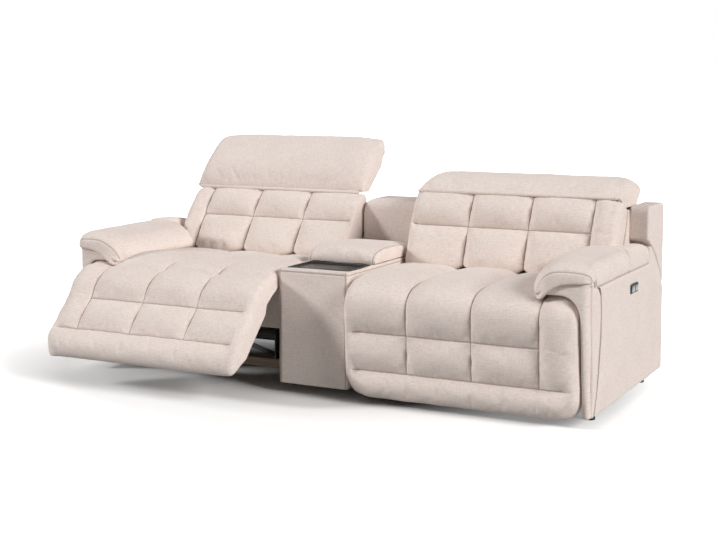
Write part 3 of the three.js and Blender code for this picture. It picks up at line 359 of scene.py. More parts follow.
def at_lengths(dense, along, lengths):
    """The points at given lengths along a curve."""
    return np.stack([np.interp(lengths, along, dense[:, k]) for k in range(dense.shape[1])], 1)


def stations(marks, step, close, seams):
    """Places from the first mark to the last, evenly set between marks and close to each seam."""
    places = []
    for start, end in zip(marks[:-1], marks[1:]):
        count = max(2, int(math.ceil((end - start) / step)))
        places += list(np.linspace(start, end, count + 1)[:-1])
    places.append(marks[-1])
    for seam in seams:
        places += [seam - close, seam + close]
    places = sorted(p for p in places if marks[0] - 1e-9 <= p <= marks[-1] + 1e-9)
    kept = [places[0]]
    for place in places[1:]:
        if place - kept[-1] > close * 0.45 or any(abs(place - m) < 1e-9 for m in marks):
            if place - kept[-1] < close * 0.45 and len(kept) > 1:
                kept.pop()
            kept.append(place)
    return np.array(kept)


def smoothstep(low, high, value):
    """Rises smoothly from nought at low to one at high."""
    t = np.clip((value - low) / (high - low), 0, 1)
    return t * t * (3 - 2 * t)


def drawn_in(distance, width, depth):
    """How deep a rounded edge of a width and depth is drawn in, at a distance from its end."""
    share = np.clip(1 - distance / width, 0, 1)
    return depth * (1 - np.sqrt(1 - share**2))


def sheet_pair(name, skin, back, layers=7, bulge=0.003):
    """A closed pad between two facing grids of points, with bulging borders."""
    rows, columns = skin.shape[:2]
    points = np.vstack([skin.reshape(-1, 3), back.reshape(-1, 3)])
    border = (
        [(0, j) for j in range(columns)]
        + [(i, columns - 1) for i in range(1, rows)]
        + [(rows - 1, j) for j in range(columns - 2, -1, -1)]
        + [(i, 0) for i in range(rows - 2, 0, -1)]
    )
    extra, index = [], {}
    for k, (i, j) in enumerate(border):
        inside = (min(max(i, 1), rows - 2), min(max(j, 1), columns - 2))
        out = (skin[i, j] - skin[inside]) + (back[i, j] - back[inside])
        length = np.linalg.norm(out)
        out = out / length if length > 1e-9 else out
        for layer in range(1, layers):
            share = layer / layers
            place = skin[i, j] * (1 - share) + back[i, j] * share
            index[k, layer] = len(points) + len(extra)
            extra.append(place + out * bulge * 4 * share * (1 - share))
    points = np.vstack([points, np.array(extra)])
    for k, (i, j) in enumerate(border):
        index[k, 0] = i * columns + j
        index[k, layers] = rows * columns + i * columns + j
    faces = []
    for i in range(rows - 1):
        for j in range(columns - 1):
            a, b = i * columns + j, i * columns + j + 1
            c, d = a + columns + 1, a + columns
            faces.append((a, b, c, d))
            faces.append(tuple(v + rows * columns for v in (d, c, b, a)))
    for k in range(len(border)):
        following = (k + 1) % len(border)
        for layer in range(layers):
            turn = ((k, layer), (k, layer + 1), (following, layer + 1), (following, layer))
            faces.append(tuple(index[spot] for spot in turn))
    made = mesh_object(name, points, faces)
    face_outwards(made)
    return made


def face_outwards(piece):
    """Turns a closed piece's faces outwards by the sign of its volume."""

    def turn(work):
        bmesh.ops.recalc_face_normals(work, faces=work.faces)
        if work.calc_volume(signed=True) < 0:
            bmesh.ops.reverse_faces(work, faces=work.faces)

    rework(piece.data, turn)


def plump(piece, held, cap):
    """Swells the piece by a short cloth simulation that is pinned where held is true."""
    frames = sizes().cloth_frames
    group = piece.vertex_groups.new(name="held")
    group.add([int(i) for i in np.nonzero(held)[0]], 1.0, "REPLACE")
    before = points_of(piece)
    cloth = piece.modifiers.new("Cloth", "CLOTH")
    adjust(cloth.settings, quality=4, mass=0.3, vertex_group_mass="held")
    adjust(cloth.settings, tension_stiffness=12, compression_stiffness=12)
    adjust(cloth.settings, shear_stiffness=4, bending_stiffness=0.4)
    adjust(cloth.settings, use_pressure=True, uniform_pressure_force=sizes().cloth_pressure)
    # The cloth may grow by two hundredths.
    cloth.settings.shrink_min = -0.02
    cloth.settings.effector_weights.gravity = 0.0
    cloth.collision_settings.use_collision = False
    adjust(cloth.point_cache, frame_start=1, frame_end=frames)
    for step in range(1, frames + 1):
        bpy.context.scene.frame_set(step)
    swollen = evaluated_mesh(piece)
    move = values_of(swollen.vertices, "co", 3) - before
    bpy.data.meshes.remove(swollen)
    piece.modifiers.remove(cloth)
    piece.vertex_groups.clear()
    bpy.context.scene.frame_set(1)
    length = np.linalg.norm(move, axis=1)
    move *= (cap * np.tanh(length / cap) / np.maximum(length, 1e-9))[:, None]
    set_points(piece, before + move)


# Materials


FINISHES = {}


def feed(tree, made, inputs):
    """Sets a node's inputs, each to a value, a socket or the first output of another node."""
    for key, value in inputs.items():
        if isinstance(value, bpy.types.Node):
            value = value.outputs[0]
        if isinstance(value, bpy.types.NodeSocket):
            tree.links.new(value, made.inputs[key])
        else:
            made.inputs[key].default_value = value


def node(tree, kind, inputs=None, **settings):
    """Adds a node with its inputs and settings."""
    made = tree.nodes.new(kind)
    adjust(made, **settings)
    feed(tree, made, inputs or {})
    return made


def calculated(tree, operation, *values):
    return node(tree, "ShaderNodeMath", dict(enumerate(values)), operation=operation)


def material(name):
    """Adds a finish; returns its node tree and its shader."""
    made = bpy.data.materials.new(name)
    made.use_nodes = True
    FINISHES[name] = made
    return made.node_tree, made.node_tree.nodes["Principled BSDF"]


def speckled(tree, place, scale, detail, **more):
    return node(tree, "ShaderNodeTexNoise", {"Vector": place, "Scale": scale, "Detail": detail, **more})


def raised(tree, strength, distance, height, **more):
    inputs = {"Strength": strength, "Distance": distance, "Height": height, **more}
    return node(tree, "ShaderNodeBump", inputs)


def ramp(tree, factor, stops):
    """A colour ramp with (place, colour) stops."""
    made = node(tree, "ShaderNodeValToRGB", {0: factor})
    while len(made.color_ramp.elements) < len(stops):
        made.color_ramp.elements.new(0.5)
    for element, (place, tone) in zip(made.color_ramp.elements, stops):
        adjust(element, position=place, color=tone)
    return made


def shade(tone, level):
    """A colour made darker or lighter by a factor."""
    return (*(Vector(tone[:3]) * level), 1.0)


# Real threads lie closer than shows, so the weave is drawn in bands of this width.
WEAVE_BAND = 0.0034


def woven_cover():
    """Polyester and linen upholstery cloth: matt, a melange of three yarns with slubs along the weft, and
    painted shade darkening it along its seams.
    """
    tree, shader = material("woven_linen_mix")
    tone = colours()
    cloth = node(tree, "ShaderNodeUVMap", uv_map="Weave")

    def streaks(along, across, detail=2.0):
        # Each streak is so many metres along the weft and across it.
        stretch = node(tree, "ShaderNodeMapping", {0: cloth, 3: (1 / along, 1 / across, 1)})
        return speckled(tree, stretch, 1.0, detail)

    def mix(factor, first, second):
        return node(tree, "ShaderNodeMix", {0: factor, 2: first, 3: second})

    def apart(layer):
        stored = node(tree, "ShaderNodeAttribute", attribute_name=layer).outputs["Fac"]
        return calculated(tree, "ABSOLUTE", calculated(tree, "SUBTRACT", stored, 1.0))

    def checks(direction):
        wave = {"Vector": cloth, "Scale": math.pi / 20 / WEAVE_BAND, "Distortion": 2.2}
        wave.update({"Detail": 1.0, "Detail Scale": 1.4})
        return node(tree, "ShaderNodeTexWave", wave, bands_direction=direction).outputs["Fac"]

    slub, long_slub = streaks(0.017, 0.0028), streaks(0.048, 0.0046)
    fleck, upright = streaks(0.0032, 0.0026), streaks(0.0034, 0.026)
    cloud = streaks(0.12, 0.1, 1.0)
    pattern = mix(0.52, mix(0.35, slub, long_slub), mix(0.16, mix(0.45, fleck, upright), cloud))
    yarns = ramp(tree, pattern, [(0.36, tone.yarn_dark), (0.5, tone.yarn_mid), (0.64, tone.yarn_light)])
    nearest = calculated(tree, "MINIMUM", apart("Seam"), apart("SeamB"))
    # Painted shade: within a few millimetres of a seam the yarns' colour gives way to the crease colour,
    # standing in for the shade inside the seam.
    line = node(tree, "ShaderNodeMapRange", {0: nearest, 1: 0.0008, 2: 0.0026, 3: 0.62, 4: 0.0})
    groove = node(tree, "ShaderNodeMapRange", {0: nearest, 1: 0.0, 2: 0.006})
    sewn = node(tree, "ShaderNodeMix", {0: line, 6: yarns, 7: tuple(tone.crease)}, data_type="RGBA")
    relief = mix(0.5, mix(0.5, checks("X"), checks("Y")), mix(0.5, slub, fleck))
    pinched = raised(tree, 0.8, 0.0022, groove)
    feed(tree, shader, {"Base Color": sewn.outputs[2], "Roughness": 0.92, "IOR": 1.46})
    feed(tree, shader, {"Specular IOR Level": 0.25, "Sheen Weight": 0.12, "Sheen Roughness": 0.6})
    feed(tree, shader, {"Normal": raised(tree, 0.5, 0.0009, relief, Normal=pinched)})


def grained(name, tone, roughness, metallic=0.0, grain=0.0009, depth=0.00012, spread=0.08, **more):
    """A finish whose surface grain and tone both vary a little, as moulded, coated or plated ones do."""
    tree, shader = material(name)
    place = node(tree, "ShaderNodeTexCoord").outputs["Object"]
    fine = speckled(tree, place, 1 / grain, 2.0)
    broad = speckled(tree, place, 9.0, 3.0)
    stops = [(0.35, shade(tone, 1 - spread)), (0.65, shade(tone, 1 + spread))]
    rough = node(tree, "ShaderNodeMapRange", {0: broad, 3: roughness * 0.85, 4: roughness * 1.15})
    feed(tree, shader, {"Base Color": ramp(tree, broad, stops), "Roughness": rough, "Metallic": metallic})
    feed(tree, shader, {"Normal": raised(tree, 0.5, depth, fine), **more})


def timber(name, tone, ring):
    """Planed timber or veneer: a long grain with darker late wood, matt from the saw."""
    tree, shader = material(name)
    place = node(tree, "ShaderNodeTexCoord").outputs["Object"]
    laid = node(tree, "ShaderNodeMapping", {0: place, 3: (1 / 0.25, 1 / ring, 1 / ring)})
    grain = speckled(tree, laid, 1.0, 5.0, Distortion=0.4)
    stops = [(0.32, shade(tone, 0.62)), (0.5, shade(tone, 1.0)), (0.7, shade(tone, 1.2))]
    bump = raised(tree, 0.4, 0.0004, grain)
    feed(tree, shader, {"Base Color": ramp(tree, grain, stops), "Roughness": 0.66, "Normal": bump})


def make_finishes():
    tone = colours()
    woven_cover()
    # Bonded polyester thread: round, soft gloss.
    grained("polyester_thread", tone.thread, 0.7, grain=0.0006)
    # Kiln dried beech rails: reddish grain along the rail.
    timber("beech_rail", tone.beech, 0.006)
    # Poplar plywood: pale face veneer.
    timber("poplar_plywood", tone.plywood, 0.009)
    # Powder coated mild steel: dark, satin, with a faint orange peel.
    grained("powder_coated_steel", tone.steel, 0.42, 0.3, 0.0016, 0.0002)
    # Glass filled nylon housings: dark grey with a spark eroded grain.
    grained("glass_filled_nylon", tone.motor, 0.5, 0.0, 0.0011, 0.00022)
    # Piano black ABS: dark, polished, with a clear reflection.
    grained("gloss_abs", tone.tray, 0.22, 0.0, 0.003, 0.00002, 0.05, IOR=1.4)
    # Moulded polypropylene: black, satin.
    grained("satin_polypropylene", tone.liner, 0.45, 0.0, 0.0012, 0.00018)
    # Spun polypropylene nonwoven: black, matt, fibrous.
    grained("nonwoven", tone.liner, 0.9, 0.0, 0.0006, 0.0003, 0.2)
    # Chrome plate over ABS: dark, with a sharp reflection.
    grained("chrome_plate", tone.chrome, 0.22, 1.0, 0.004, 0.00001, 0.03)


# Pads


def for_all(pad, values, rest):
    """Values for a pad's skin, whose vertices come first, and one for all its other vertices."""
    whole = np.full(len(pad.data.vertices), rest)
    whole[: values.size] = values.ravel()
    return whole


# How deep a seam up the pad and one across it draw the filling in, and how high the cells stand
# over the path, as shares of the crown.
UP_PINCH, CROSS_PINCH, CELL_LEVEL = 0.88, 0.86, 0.62
# The mesh's step beside a seam, how wide the crease on it is, and how near it the simulation
# holds the cover.
SEAM_STEP, CREASE_WIDTH, HELD_BAND = 0.0035, 0.002, 0.0015


def quilted_pad(
    name, control, side, cross_seams, back_rows, ends, crown, pull_at,
    seams=SEAMS, corner=None, fade=None, coarser=1.0,
):
    """A sewn pad: a skin along a path of (y, z) points, and a plain back behind it.

    side turns the path's normal outwards. cross_seams holds the control point on each seam across
    the pad and the x where it starts and ends. back_rows gives the back's (y, z) by share of the
    path. ends holds the pad's first and last x and how wide and how deep each end is drawn in,
    along what pull_at gives. corner rounds the far end's corners: its radius, which of y and z
    measures it, and the far edge's place. fade thins the filling over a length from the start.
    coarser widens the mesh's steps.
    """
    step = sizes().weave_step * coarser
    inner, outer, ((in_width, in_depth), (out_width, out_depth)) = ends
    dense, along, marks = spline(control)
    seam_lengths = [marks[k] for k, _, _ in cross_seams]
    edges = sorted({0.0, marks[-1], *seam_lengths})
    rows_at = stations(edges, step, SEAM_STEP, seam_lengths)
    path = at_lengths(dense, along, rows_at)
    tangent = np.gradient(path, rows_at, axis=0)
    tangent /= np.linalg.norm(tangent, axis=1)[:, None]
    normal = side * np.stack([tangent[:, 1], -tangent[:, 0]], 1)
    angles = np.linspace(0, math.pi / 2, 8)
    in_round = inner + in_width * (1 - np.cos(angles))
    out_round = outer - out_width * (1 - np.cos(angles))
    middle = stations([in_round[-1], *seams, out_round[-1]], step, SEAM_STEP, seams)
    xs = np.array(sorted(set(np.round(np.concatenate([in_round, middle, out_round]), 6))))
    inset = drawn_in(xs - inner, in_width, in_depth) + drawn_in(outer - xs, out_width, out_depth)
    softness, reach = sizes().seam_softness, sizes().seam_reach
    up = np.zeros((len(rows_at), len(xs)))
    cross = np.zeros_like(up)
    nearest = np.full_like(up, FAR)
    row_end = marks[-1] + 1
    if seams and cross_seams and cross_seams[-1][0] < len(control) - 2:
        row_end = seam_lengths[-1]
    for seam in seams:
        apart = np.abs(xs - seam)[None, :] + 4 * np.maximum(0, rows_at - row_end)[:, None]
        up = np.maximum(up, np.exp(-apart / softness))
        nearest = np.minimum(nearest, apart)
    for length, (_, start, end) in zip(seam_lengths, cross_seams):
        share = smoothstep(start - reach * 0.35, start + reach * 0.35, xs)
        if end < outer:
            share = share * (1 - smoothstep(end - reach * 0.35, end + reach * 0.35, xs))
        apart = np.abs(rows_at - length)
        cross = np.maximum(cross, np.exp(-apart / softness)[:, None] * share[None, :])
        past = np.maximum(0, start - xs) + np.maximum(0, xs - end)
        nearest = np.minimum(nearest, apart[:, None] + past[None, :])
    pit = 1 - (1 - UP_PINCH * up) * (1 - CROSS_PINCH * cross)
    lift = crown * (CELL_LEVEL - pit) - sizes().seam_crease * np.exp(-nearest / CREASE_WIDTH)
    if fade:
        lift = lift * (0.4 + 0.6 * smoothstep(0.0, fade, rows_at))[:, None]
    skin = np.zeros((len(rows_at), len(xs), 3))
    back = np.zeros_like(skin)
    share = rows_at / rows_at[-1]
    columns = np.array(back_rows)
    back_path = np.stack([np.interp(share, columns[:, 0], columns[:, k]) for k in (1, 2)], 1)
    pull = np.array([pull_at(s, n) for s, n in zip(share, normal)])
    tuck = np.zeros(len(rows_at))
    if corner:
        radius, measured, far = corner
        tuck = drawn_in(np.abs(path[:, measured] - far), radius, radius)
        past = tuck.argmax()
        tuck[past:] = np.maximum(tuck[past:], 0.75 * tuck[past])
    half = (outer - inner) / 2
    edge = np.sign(xs - inner - half) * smoothstep(0.35, 1.0, np.abs(xs - inner - half) / half)
    for i in range(len(rows_at)):
        skin[i, :, 0] = back[i, :, 0] = xs - edge * tuck[i]
        # The ends round off no further than the pad is thick.
        thick = max(0.0, (back_path[i] - path[i]) @ pull[i] / (pull[i] @ pull[i]))
        drawn = np.minimum(inset, 0.94 * thick)
        skin[i, :, 1:] = path[i] + np.outer(lift[i], normal[i]) + np.outer(drawn, pull[i])
        back[i, :, 1:] = back_path[i]
    pad = sheet_pair(name, skin, back)
    on_seam = nearest < HELD_BAND
    on_seam[:, (xs < in_round[2]) | (xs > out_round[2])] = True
    on_seam[:2] = on_seam[-2:] = True
    # The distances from the seams give the painted shade along the quilting seams.
    mark_seam(pad, for_all(pad, nearest, FAR))
    return pad, for_all(pad, on_seam, True)


def round_off(piece, x, z, reach, rounds):
    """Smooths a piece near a line along y."""
    points = points_of(piece)
    count = len(points)
    tails, heads = values_of(piece.data.edges, "vertices", 2, np.int64).T
    apart = np.hypot(points[:, 0] - x, points[:, 2] - z)
    weight = 0.6 * (1 - smoothstep(0.4 * reach, reach, apart))
    near = weight > 0
    used = near[tails] | near[heads]
    tails, heads = tails[used], heads[used]
    met = np.bincount(tails, minlength=count) + np.bincount(heads, minlength=count)
    for _ in range(rounds):
        for axis in range(3):
            place = points[:, axis]
            total = np.bincount(tails, place[heads], count) + np.bincount(heads, place[tails], count)
            mean = np.where(near, total / np.maximum(met, 1), place)
            points[:, axis] += weight * (mean - place)
    set_points(piece, points)


def finish_pad(pad, seed, wavelength=0.07, height=0.0016):
    """Halves the pad's mesh steps, adds large and small swells and puts the cover on."""
    adjust(pad.modifiers.new("Round", "SUBSURF"), levels=1, render_levels=1)
    settle(pad)
    undulate(pad, height, wavelength, seed)
    undulate(pad, height * 0.35, wavelength * 0.3, seed + 5)
    cover(pad)


# Every PATH holds a pad's (y, z) points along its face. This one runs from the rear of the seat
# over its nose and down the footrest.
CHAISE_PATH = [
    (0.08, 0.436), (0.02, 0.443), (-0.04, 0.4495), (-0.13, 0.456), (-0.22, 0.4595),
    (-0.303, 0.46), (-0.375, 0.457), (-0.423, 0.451), (-0.459, 0.4415), (-0.489, 0.424),
    (-0.509, 0.402), (-0.518, 0.372), (-0.518, 0.33), (-0.513, 0.272), (-0.5095, 0.2),
    (-0.506, 0.132), (-0.506, 0.104), (-0.502, 0.076), (-0.4915, 0.055), (-0.478, 0.0445),
    (-0.466, 0.0425),
]
# Share of the path, y and z of the pad's plain back, here and in the other pads' backs.
CHAISE_BACK = [
    (0.0, 0.08, 0.33), (0.35, -0.325, 0.33), (0.4, -0.35, 0.35), (0.45, -0.398, 0.396),
    (0.48, -0.438, 0.4015), (0.51, -0.456, 0.396), (0.54, -0.4565, 0.372),
    (0.58, -0.447, 0.345), (0.62, -0.433, 0.318), (1.0, -0.4325, 0.0425),
]
# The pad bends between these two places when the footrest opens.
BEND_START = (-0.4605, 0.4405)
BEND_END = (-0.4996, 0.4053)


def chaise_pull(share, normal):
    """Which way the seat pad's ends are drawn in: to its back, and straight rearwards lower down."""
    towards_back = smoothstep(0.6, 0.8, share)
    pull = -normal * (1 - towards_back) + np.array([1.0, 0.0]) * towards_back
    return pull / np.linalg.norm(pull)


def bend_share(points):
    """How much of the footrest's turn each point of a seat pad takes part in."""
    run = np.array(BEND_END) - np.array(BEND_START)
    return smoothstep(0, 1, ((points[:, 1:] - np.array(BEND_START)) @ run) / (run @ run))


# How far the filling moves at each control point of the path when the footrest is up, in y and z.
KNEE_MOVES = {
    3: (0.0, 0.0), 4: (0.0, 0.003), 5: (0.0, 0.009), 6: (0.0, 0.013), 7: (0.0, 0.013),
    8: (-0.001, 0.01), 9: (-0.001, 0.02), 10: (-0.003, 0.009), 11: (-0.003, 0.011),
    12: (-0.008, 0.014), 13: (-0.003, 0.003), 14: (-0.003, 0.006), 15: (-0.002, 0.003),
    16: (0.0, 0.0),
}


def knee_filling(points):
    """How the open chaise's filling bulges over the knee, from the closed pad's points."""
    dense, along, marks = spline(CHAISE_PATH)
    lengths = np.linspace(0, along[-1], 400)
    path = at_lengths(dense, along, lengths)
    table = np.array([(marks[k], *move) for k, move in KNEE_MOVES.items()])
    moves = np.stack([np.interp(lengths, table[:, 0], table[:, k]) for k in (1, 2)], 1)
    soft = np.exp(-(((lengths[:, None] - lengths[None, :]) / 0.018) ** 2))
    moves = (soft @ moves) / soft.sum(axis=1)[:, None]
    apart = np.linalg.norm(points[:, None, 1:] - path[None], axis=2)
    nearest = apart.argmin(axis=1)
    share = 1 - smoothstep(0.035, 0.085, apart[np.arange(len(points)), nearest])
    out = np.zeros_like(points)
    out[:, 1:] = moves[nearest] * share[:, None]
    return out


class SOFA_OT_chaise_pads(bpy.types.Operator):
    """Seat pads that run on over the nose and down the footrest in one piece"""

    bl_idname = "sofa.chaise_pads"
    bl_label = "Seat and footrest pads"

    def execute(self, context):
        ends = (SEAT_INNER, SEAT_OUTER, ((0.046, 0.036), (0.084, 0.058)))
        start, crown = SEAT_INNER + sizes().seam_reach, 0.75 * sizes().tuft_crown
        cross = [(13, start, SEAMS[-1]), (15, start, SEAT_OUTER - sizes().seam_reach)]
        shape = {"corner": (0.042, 1, 0.037), "fade": 0.13, "coarser": 1.17}
        right, held = quilted_pad(
            "right_seat_pad", CHAISE_PATH, 1, cross, CHAISE_BACK, ends, crown, chaise_pull, **shape
        )
        plump(right, held, 0.0045)
        round_off(right, SEAT_OUTER, 0.036, 0.062, 18)
        round_off(right, SEAT_INNER, 0.036, 0.09, 34)
        finish_pad(right, 1)
        left = mirrored_copy(right)
        points = points_of(left)
        share = bend_share(points)
        open_points = np.array(points)
        for angle_share in np.unique(np.round(share, 4)):
            chosen = np.abs(np.round(share, 4) - angle_share) < 1e-9
            open_points[chosen] = turned(points[chosen], FOOTREST_AXIS, LEFT_OPEN * angle_share)
        open_points += knee_filling(points)
        set_points(left, open_points)
        for pad, side, opened in ((right, "right", 0.0), (left, "left", LEFT_OPEN)):
            end = turned([(0, *BEND_END)], FOOTREST_AXIS, opened)[0]
            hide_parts(f"{side}_seat_cushion", f"{side}_footrest_cushion")
            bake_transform(pad)
        return {"FINISHED"}


BACK_PATH = [
    (0.036, 0.4525), (0.0127, 0.4565), (0.007, 0.472), (0.016, 0.504), (0.0296, 0.5416),
    (0.043, 0.579), (0.056, 0.613), (0.069, 0.6427), (0.085, 0.6745), (0.103, 0.709),
    (0.119, 0.743),
]
BACK_REAR = [(0.0, 0.1195, 0.4525), (0.12, 0.127, 0.47), (0.9, 0.213, 0.689), (1.0, 0.172, 0.6895)]


def pair_pieces(right, turns, bodies, node_name, fill=None, slot="woven"):
    """Makes the left seat's piece and lets both ride and stand for their solids."""
    left = mirrored_copy(right, turns)
    for piece, side in ((right, "right"), (left, "left")):
        bind(piece, bodies.format(side=side), slot, f"{side}_{node_name}", fill=fill)


class SOFA_OT_back_pads(bpy.types.Operator):
    """Quilted pads of the two backs"""

    bl_idname = "sofa.back_pads"
    bl_label = "Back pads"

    def execute(self, context):
        x0, x1 = span("right_back_cushion")
        ends = (x0, x1, ((0.048, 0.036), (0.064, 0.058)))
        crown = 1.1 * sizes().tuft_crown

        def pull(share, normal):
            return np.array([1.0, -0.22 * share])

        cross = [(6, x0 + 0.012, SEAMS[-1]), (10, x0, x1)]
        right, held = quilted_pad("right_back_pad", BACK_PATH, -1, cross, BACK_REAR, ends, crown, pull)
        plump(right, held, 0.006)
        finish_pad(right, 2)
        pair_pieces(right, BACK_TURNS, "{side}_back", "back_cushion", 0.75)
        return {"FINISHED"}


HEADREST_PATH = [
    (0.12, 0.7405), (0.127, 0.751), (0.14, 0.761), (0.181, 0.778), (0.23, 0.791),
    (0.281, 0.796), (0.338, 0.794), (0.388, 0.784), (0.426, 0.7675), (0.446, 0.7495),
    (0.451, 0.733), (0.443, 0.716), (0.425, 0.704), (0.409, 0.6995),
]
HEADREST_BACK = [
    (0.0, 0.1275, 0.7395), (0.06, 0.14, 0.7275), (0.16, 0.1695, 0.698), (1.0, 0.404, 0.6972),
]


class SOFA_OT_headrests(bpy.types.Operator):
    """Padded headrests, one lowered and one raised"""

    bl_idname = "sofa.headrests"
    bl_label = "Headrests"

    def execute(self, context):
        x0, x1 = span("right_headrest_cushion")
        ends = (x0, x1, ((0.066, 0.034), (0.066, 0.034)))

        def pull(share, normal):
            # The ends fall to a straight line, which the domed face stands over.
            domed = 0.045 * max(0.0, math.sin(math.pi * share / 0.85))
            return -normal * (0.012 + domed) / 0.034

        # The far edge lies 4 mm behind the path's rearmost point.
        shape = {"seams": [], "corner": (0.042, 0, HEADREST_PATH[10][0] + 0.004)}
        cross = [(0, x0, x1)]
        right, held = quilted_pad(
            "right_headrest_pad", HEADREST_PATH, -1, cross, HEADREST_BACK, ends, 0.012, pull, **shape
        )
        plump(right, held, 0.006)
        finish_pad(right, 3, 0.09, 0.002)
        pair_pieces(right, HEADREST_TURNS, "{side}_headrest", "headrest_cushion", 0.8)
        # A roll of the cover about the hinge line closes the seam at every angle.
        y, z = HEADREST_AXIS[0] + 0.004, HEADREST_AXIS[1] - 0.0005
        profile = [(x0 + 0.012, 0.003), (x0 + 0.02, 0.0072), (x1 - 0.02, 0.0072), (x1 - 0.012, 0.003)]
        rings = [[(x, y + a, z + b) for a, b in circle(radius, 20)] for x, radius in profile]
        roll = stacked_loops("right_headrest_roll", rings)
        cover(roll)
        other = mirrored_copy(roll, BACK_TURNS)
        for piece, side in ((roll, "right"), (other, "left")):
            bind(piece, f"{side}_back", "woven")
        return {"FINISHED"}


# Arms

# The section of an arm's pad over it and under it: shares of its width and of its height.
ARM_OUTLINE = [
    (0.035, -0.03), (0.006, 0.08), (0.002, 0.2), (0.035, 0.37), (0.11, 0.57), (0.22, 0.77),
    (0.37, 0.93), (0.56, 1.0), (0.75, 0.98), (0.89, 0.88), (0.975, 0.67), (1.01, 0.38),
    (1.004, 0.05),
]
ARM_UNDER = [(0.985, 1), (0.865, 0.98), (0.53, 0.86), (0.31, 0.5), (0.16, 0.05), (0.08, -0.02)]
# Along an arm: y, reach inwards from the side, outer bottom, inner bottom, top, girth.
ARM_STATIONS = [
    (-0.5080, 0.2000, 0.5050, 0.4430, 0.5440, 1.0),
    (-0.5060, 0.2005, 0.5050, 0.4430, 0.5465, 1.006),
    (-0.5020, 0.2020, 0.5050, 0.4435, 0.5530, 1.014),
    (-0.4960, 0.2040, 0.5050, 0.4440, 0.5600, 1.016),
    (-0.4850, 0.2070, 0.5050, 0.4455, 0.5670, 1.012),
    (-0.4700, 0.2110, 0.5050, 0.4480, 0.5715, 1.006),
    (-0.4500, 0.2160, 0.5050, 0.4530, 0.5745, 1.000),
    (-0.4310, 0.2200, 0.5050, 0.4580, 0.5765, 1.0),
    (-0.4280, 0.2210, 0.4830, 0.4590, 0.5767, 1.0),
    (-0.4000, 0.2280, 0.4828, 0.4660, 0.5775, 1.0),
    (-0.3400, 0.2400, 0.4828, 0.4725, 0.5792, 1.0),
    (-0.2400, 0.2500, 0.4828, 0.4740, 0.5815, 1.0),
    (-0.1500, 0.2520, 0.4828, 0.4740, 0.5825, 1.0),
    (-0.0650, 0.2520, 0.4828, 0.4740, 0.5825, 1.0),
    (-0.0380, 0.2500, 0.4828, 0.4745, 0.5822, 0.99),
    (-0.0240, 0.2450, 0.4828, 0.4755, 0.5820, 0.97),
    (-0.0190, 0.2340, 0.4828, 0.4770, 0.5815, 0.96),
    (-0.0180, 0.2000, 0.4828, 0.4800, 0.5810, 0.96),
    (-0.0178, 0.1200, 0.4828, 0.4820, 0.5808, 0.97),
    (-0.0172, 0.0800, 0.4828, 0.4826, 0.5808, 0.98),
    (-0.0100, 0.0712, 0.4828, 0.4828, 0.5807, 1.0),
    (0.0500, 0.0710, 0.4828, 0.4828, 0.5800, 1.0),
    (0.1000, 0.0710, 0.4828, 0.4828, 0.5765, 1.0),
    (0.1480, 0.0710, 0.4828, 0.4828, 0.5720, 1.0),
    (0.2000, 0.0710, 0.4828, 0.4828, 0.5660, 1.0),
    (0.2300, 0.0710, 0.4828, 0.4828, 0.5600, 1.0),
    (0.2500, 0.0710, 0.4828, 0.4828, 0.5535, 1.0),
]
# Points round the section, and the longest step along the arm.
ARM_COUNT, ARM_STEP = 90, 0.009
# The padded ends: how far the section is drawn in, and how far the end stands out.
ARM_FRONT_END = [(0.0022, 0.0024), (0.0056, 0.0042), (0.01, 0.0052)]
ARM_REAR_END = [(0.003, 0.0045), (0.009, 0.0075)]


def arm_loop(reach, bottom, inner, top, girth, count):
    """The pad's section: its points, and how far round the loop the side seam lies."""
    left = HALF_WIDTH - reach
    loop = []
    for across, up in ARM_OUTLINE:
        base = inner + (bottom - inner) * min(1, 2 * across)
        loop.append((left + across * reach, base + up * (top - base)))
    side_seam = len(loop) - 1
    for across, up in ARM_UNDER:
        loop.append((left + across * reach, inner + up * (bottom - inner)))
    middle = HALF_WIDTH - reach / 2
    loop = [
        (middle + (x - middle) * girth, bottom + (z - bottom) * girth if z > bottom else z)
        for x, z in loop
    ]
    dense, along, marks = spline(loop + [loop[0]])
    before = int(count * 0.62)
    over = np.linspace(0, marks[side_seam], before + 1)[:-1]
    under = np.linspace(marks[side_seam], along[-1], count - before + 1)[:-1]
    lengths = np.concatenate([over, under])
    return at_lengths(dense, along, lengths), np.abs(lengths - marks[side_seam])


